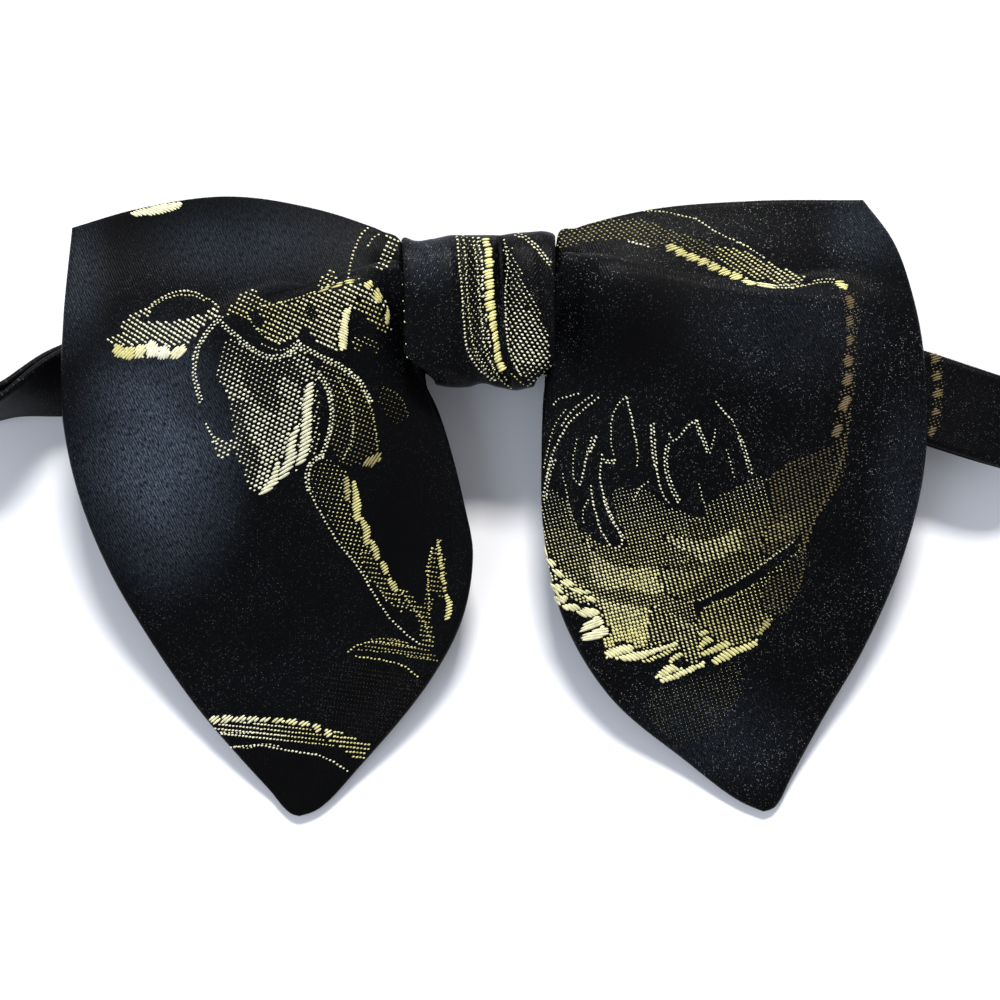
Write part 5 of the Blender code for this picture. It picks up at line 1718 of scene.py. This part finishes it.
def satin_material(label):
    """Black satin with a bluish bloom on its threads, fine painted glints of light, and patches of painted
    sheen and painted shade.
    """
    colours, sizes = bpy.context.scene.bow_tie_colours, bpy.context.scene.bow_tie_sizes
    material, tree, place = new_material(label + "_satin_finish")
    inputs = {
        "Vector": add_node(tree, "ShaderNodeUVMap", uv_map="cloth").outputs["UV"],
        "Ribs per unit": 1.0 / (sizes.twill_pitch * UV_PER_METRE),
        "Points per unit": 1.0 / (sizes.glint_pitch * UV_PER_METRE),
    }
    weave = add_node(tree, "ShaderNodeGroup", inputs, node_tree=shared("satin_weave", satin_group)).outputs
    rib = map_range(tree, weave["Rib"], *SATIN_RIB_SPAN)
    thread = map_range(tree, weave["Thread"], *SATIN_THREAD_SPAN)
    woven = product(tree, rib, thread)
    cloud = map_range(tree, weave["Cloud"], *CLOUD_SPAN)
    bloom = product(tree, woven, cloud, BLOOM[label], clamp=True)
    patchy = map_range(tree, weave["Cloud"], *PATCHY_SPAN)
    # The points are painted glints: bright specks of reflected light put into the base colour
    points = product(tree, weave["Points"], patchy, PAINTED_GLINTS[label], clamp=True)
    # Faces turned away from the front, such as edges and turns, show no painted glints
    normal = add_node(tree, "ShaderNodeTexCoord").outputs["Normal"]
    upright = add_node(tree, "ShaderNodeSeparateXYZ", {"Vector": normal}).outputs["Z"]
    flat = map_range(tree, maths(tree, "ABSOLUTE", upright), *FACING_SPAN)
    points = product(tree, points, flat)
    rough = map_range(tree, weave["Thread"], *SATIN_ROUGHNESS)
    # Painted shade: the dull patches darken the colour by taking away bloom and painted glints, and they also
    # make the satin rougher
    if label in DULL_AND_PAINTED_SHADE:
        outside_painted_shade = maths(tree, "SUBTRACT", 1.0, soft_patches(tree, place, DULL_AND_PAINTED_SHADE[label]), clamp=True)
        bloom, points = product(tree, bloom, outside_painted_shade), product(tree, points, outside_painted_shade)
        calm = maths(tree, "SUBTRACT", 1.0, outside_painted_shade)
        rough = maths(tree, "ADD", rough, product(tree, calm, DULL_ROUGHNESS))
    base = mix_colour(tree, bloom, colours.satin, colours.bloom)
    # Painted sheen: soft patches where the satin's colour is lightened towards the sheen colour, as a
    # highlight
    if label in PAINTED_SHEEN:
        lit = product(tree, soft_patches(tree, place, PAINTED_SHEEN[label]), cloud, woven)
        base = mix_colour(tree, lit, base, colours.sheen)
    inputs = {
        "Base Color": mix_colour(tree, points, base, PAINTED_GLINT_COLOUR),
        "Roughness": rough,
        "Specular IOR Level": SATIN_SPECULAR,
        "Normal": bump(tree, weave["Height"], *SATIN_RELIEF),
    }
    return finish_material(material, inputs)


def thread_material():
    """Gold thread from cream to brown gold, with small differences between threads and along them."""
    colours = bpy.context.scene.bow_tie_colours
    material, tree, place = new_material("gold_thread")
    tone = add_node(tree, "ShaderNodeAttribute", attribute_name="tone").outputs["Fac"]
    ramp = add_node(tree, "ShaderNodeValToRGB", {"Fac": tone})
    stops = ramp.color_ramp.elements
    stops[0].color, stops[1].color = (*colours.cream, 1.0), (*colours.brown, 1.0)
    stops.new(GOLD_TONE).color = (*colours.gold, 1.0)
    ply = waves(tree, place, PLY_SCALE, "DIAGONAL").outputs["Fac"]
    shade = map_range(tree, noise(tree, place, SHADE_SCALE, 2.0), *SHADE_SPAN)
    shade = add_node(tree, "ShaderNodeCombineColor", {label: shade for label in ("Red", "Green", "Blue")})
    inputs = {
        "Base Color": mix_colour(tree, 1.0, ramp.outputs["Color"], shade.outputs["Color"], "MULTIPLY"),
        "Roughness": map_range(tree, ply, *THREAD_ROUGHNESS),
        "Sheen Weight": THREAD_SHEEN,
        "Normal": bump(tree, ply, *THREAD_RELIEF),
    }
    return finish_material(material, inputs)


def clasp_material():
    """Black moulded plastic with a fine grain and worn lips."""
    colours = bpy.context.scene.bow_tie_colours
    material, tree, place = new_material("clasp_plastic_finish")
    wear = noise(tree, place, WEAR_SCALE, 5.0)
    worn = map_range(tree, wear, *WEAR_SPAN)
    inputs = {
        "Base Color": mix_colour(tree, worn, colours.clasp, WORN_CLASP_COLOUR),
        "Roughness": map_range(tree, wear, *CLASP_ROUGHNESS),
        "Normal": bump(tree, noise(tree, place, CLASP_GRAIN_SCALE, 4.0), *CLASP_RELIEF),
    }
    return finish_material(material, inputs)


def floor_material():
    """Pale matt floor with a barely visible grain."""
    colour = bpy.context.scene.bow_tie_colours.floor
    material, tree, place = new_material("pale_floor")
    shade = map_range(tree, noise(tree, place, FLOOR_GRAIN_SCALE, 6.0), *FLOOR_GRAIN_SPAN)
    base = mix_colour(tree, shade, colour, tuple(FLOOR_GRAIN_SHADE * part for part in colour))
    return finish_material(material, {"Base Color": base, "Roughness": FLOOR_ROUGHNESS})


# Operators


class BOWTIE_OT_wings(Operator):
    """Make the two padded satin wings, each with its rolled pleat."""

    bl_idname = "bowtie.wings"
    bl_label = "Wings"

    def execute(self, context):
        for wing in (LEFT_WING, RIGHT_WING):
            name = CARRIERS[wing["name"]]
            add_piece(name, cloth_mesh(name, *wing_cloth(wing)), satin_material(wing["name"]))
        return {"FINISHED"}


class BOWTIE_OT_knot(Operator):
    """Make the satin band wrapped round the middle of the bow."""

    bl_idname = "bowtie.knot"
    bl_label = "Knot"

    def execute(self, context):
        add_piece("knot_satin", cloth_mesh("knot_satin", *knot_cloth(), ring=True), satin_material("knot"))
        return {"FINISHED"}


class BOWTIE_OT_strap(Operator):
    """Make the flat neck band."""

    bl_idname = "bowtie.strap"
    bl_label = "Neck strap"

    def execute(self, context):
        add_piece("strap_satin_band", cloth_mesh("strap_satin_band", *strap_cloth()), satin_material("strap"))
        return {"FINISHED"}


class BOWTIE_OT_clasp(Operator):
    """Make the moulded sleeve clasp behind the neck."""

    bl_idname = "bowtie.clasp"
    bl_label = "Clasp"

    def execute(self, context):
        add_piece("clasp_sleeve", clasp_mesh(), clasp_material())
        return {"FINISHED"}


class BOWTIE_OT_brocade(Operator):
    """Weave the gold threads of the brocade into the satin pieces."""

    bl_idname = "bowtie.brocade"
    bl_label = "Brocade"

    def execute(self, context):
        tree = threads_tree()
        material = shared("gold_thread", thread_material)
        for (kind, stand, rings), marks in zip(THREAD_KINDS, brocade_marks()):
            for label, laid in lay_marks(marks, stand).items():
                name = label + "_gold_" + kind
                inputs = {"Sides": THREAD_SIDES, "Rings": rings, "Thread": material}
                add_piece(name, threads_mesh(name, laid, tree, inputs), material)
        return {"FINISHED"}


class BOWTIE_OT_declare(Operator):
    """Say what each piece rides on and which imported part it replaces."""

    bl_idname = "bowtie.declare"
    bl_label = "Declare pieces"

    def execute(self, context):
        objects = bpy.data.objects
        plan = (
            ("left_wing_satin", "left_wing", "satin"),
            ("right_wing_satin", "right_wing", "satin"),
            ("knot_satin", "centre_knot", "satin"),
            ("strap_satin_band", "neck_strap", "strap_satin"),
            ("clasp_sleeve", "strap_clasp", "clasp_plastic"),
        )
        for name, node, slot in plan:
            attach(objects[name], "root")
            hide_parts(node)
        threads = {}
        for label, carrier in CARRIERS.items():
            threads[carrier] = [objects[label + "_gold_" + kind] for kind, _, _ in THREAD_KINDS]
            for piece in threads[carrier]:
                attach(piece, "root")
        return {"FINISHED"}


def area_light(name, place, size, power, colour):
    """Soft rectangular light turned towards the bow."""
    light = bpy.data.lights.new(name, "AREA")
    light.shape = "RECTANGLE"
    light.size, light.size_y = size
    light.energy = power
    light.color = colour
    lamp = bpy.data.objects.new(name, light)
    lamp.location = place
    aim = Vector((SHIFT[0], SHIFT[1], AIM_HEIGHT))
    lamp.rotation_euler = (aim - Vector(place)).to_track_quat("-Z", "Y").to_euler()
    bpy.context.scene.collection.objects.link(lamp)


def glowing_world():
    """Pale bluish surroundings, brighter near the horizon than above."""
    world = bpy.data.worlds.new("studio")
    world.use_nodes = True
    tree = world.node_tree
    way = add_node(tree, "ShaderNodeTexCoord").outputs["Generated"]
    height = add_node(tree, "ShaderNodeSeparateXYZ", {"Vector": way}).outputs["Z"]
    background = tree.nodes["Background"].inputs
    background["Color"].default_value = GLOW_COLOUR
    feed(tree, background["Strength"], map_range(tree, height, *GLOW_RISE, *GLOW_STRENGTH))
    return world


class BOWTIE_OT_stage(Operator):
    """Set up the pale floor, the soft lights and the camera above the bow."""

    bl_idname = "bowtie.stage"
    bl_label = "Stage"

    def execute(self, context):
        mesh = bpy.data.meshes.new("floor")
        corners = [(x * FLOOR_HALF, y * FLOOR_HALF, 0) for x, y in ((-1, -1), (1, -1), (1, 1), (-1, 1))]
        mesh.from_pydata(corners, [], [(0, 1, 2, 3)])
        add_piece("floor", mesh, floor_material())
        for light in LIGHTS:
            area_light(*light)
        scene = context.scene
        scene.world = glowing_world()
        lens = bpy.data.cameras.new("front_view")
        lens.lens, lens.sensor_width, lens.sensor_height = LENS_MM, SENSOR_MM, SENSOR_MM
        lens.clip_start, lens.clip_end = CAMERA_REACH
        camera = bpy.data.objects.new("front_view", lens)
        camera.location = CAMERA_PLACE
        scene.collection.objects.link(camera)
        scene.camera = camera
        scene.view_settings.view_transform = "Standard"
        return {"FINISHED"}


class BOWTIE_PT_panel(Panel):
    """Sizes, colours and steps of the bow tie."""

    bl_idname = "BOWTIE_PT_panel"
    bl_label = "Bow tie"
    bl_space_type = "VIEW_3D"
    bl_region_type = "UI"
    bl_category = "Bow tie"

    def draw(self, context):
        for group in (context.scene.bow_tie_sizes, context.scene.bow_tie_colours):
            box = self.layout.box()
            for label in group.__annotations__:
                box.prop(group, label)
        for step in STEPS:
            self.layout.operator(step.bl_idname)


STEPS = (
    BOWTIE_OT_wings,
    BOWTIE_OT_knot,
    BOWTIE_OT_strap,
    BOWTIE_OT_clasp,
    BOWTIE_OT_brocade,
    BOWTIE_OT_stage,
    BOWTIE_OT_declare,
)
CLASSES = (BowTieSizes, BowTieColours, *STEPS, BOWTIE_PT_panel)


def register():
    """Register the classes and hang the settings on the scene."""
    for item in CLASSES:
        bpy.utils.register_class(item)
    bpy.types.Scene.bow_tie_sizes = PointerProperty(type=BowTieSizes)
    bpy.types.Scene.bow_tie_colours = PointerProperty(type=BowTieColours)


def unregister():
    """Take the settings off the scene and the classes out."""
    del bpy.types.Scene.bow_tie_colours
    del bpy.types.Scene.bow_tie_sizes
    for item in reversed(CLASSES):
        bpy.utils.unregister_class(item)


def main():
    """Make every piece in order."""
    register()
    bpy.ops.bowtie.wings()
    bpy.ops.bowtie.knot()
    bpy.ops.bowtie.strap()
    bpy.ops.bowtie.clasp()
    bpy.ops.bowtie.brocade()
    bpy.ops.bowtie.stage()
    bpy.ops.bowtie.declare()


if __name__ == "__main__":
    main()
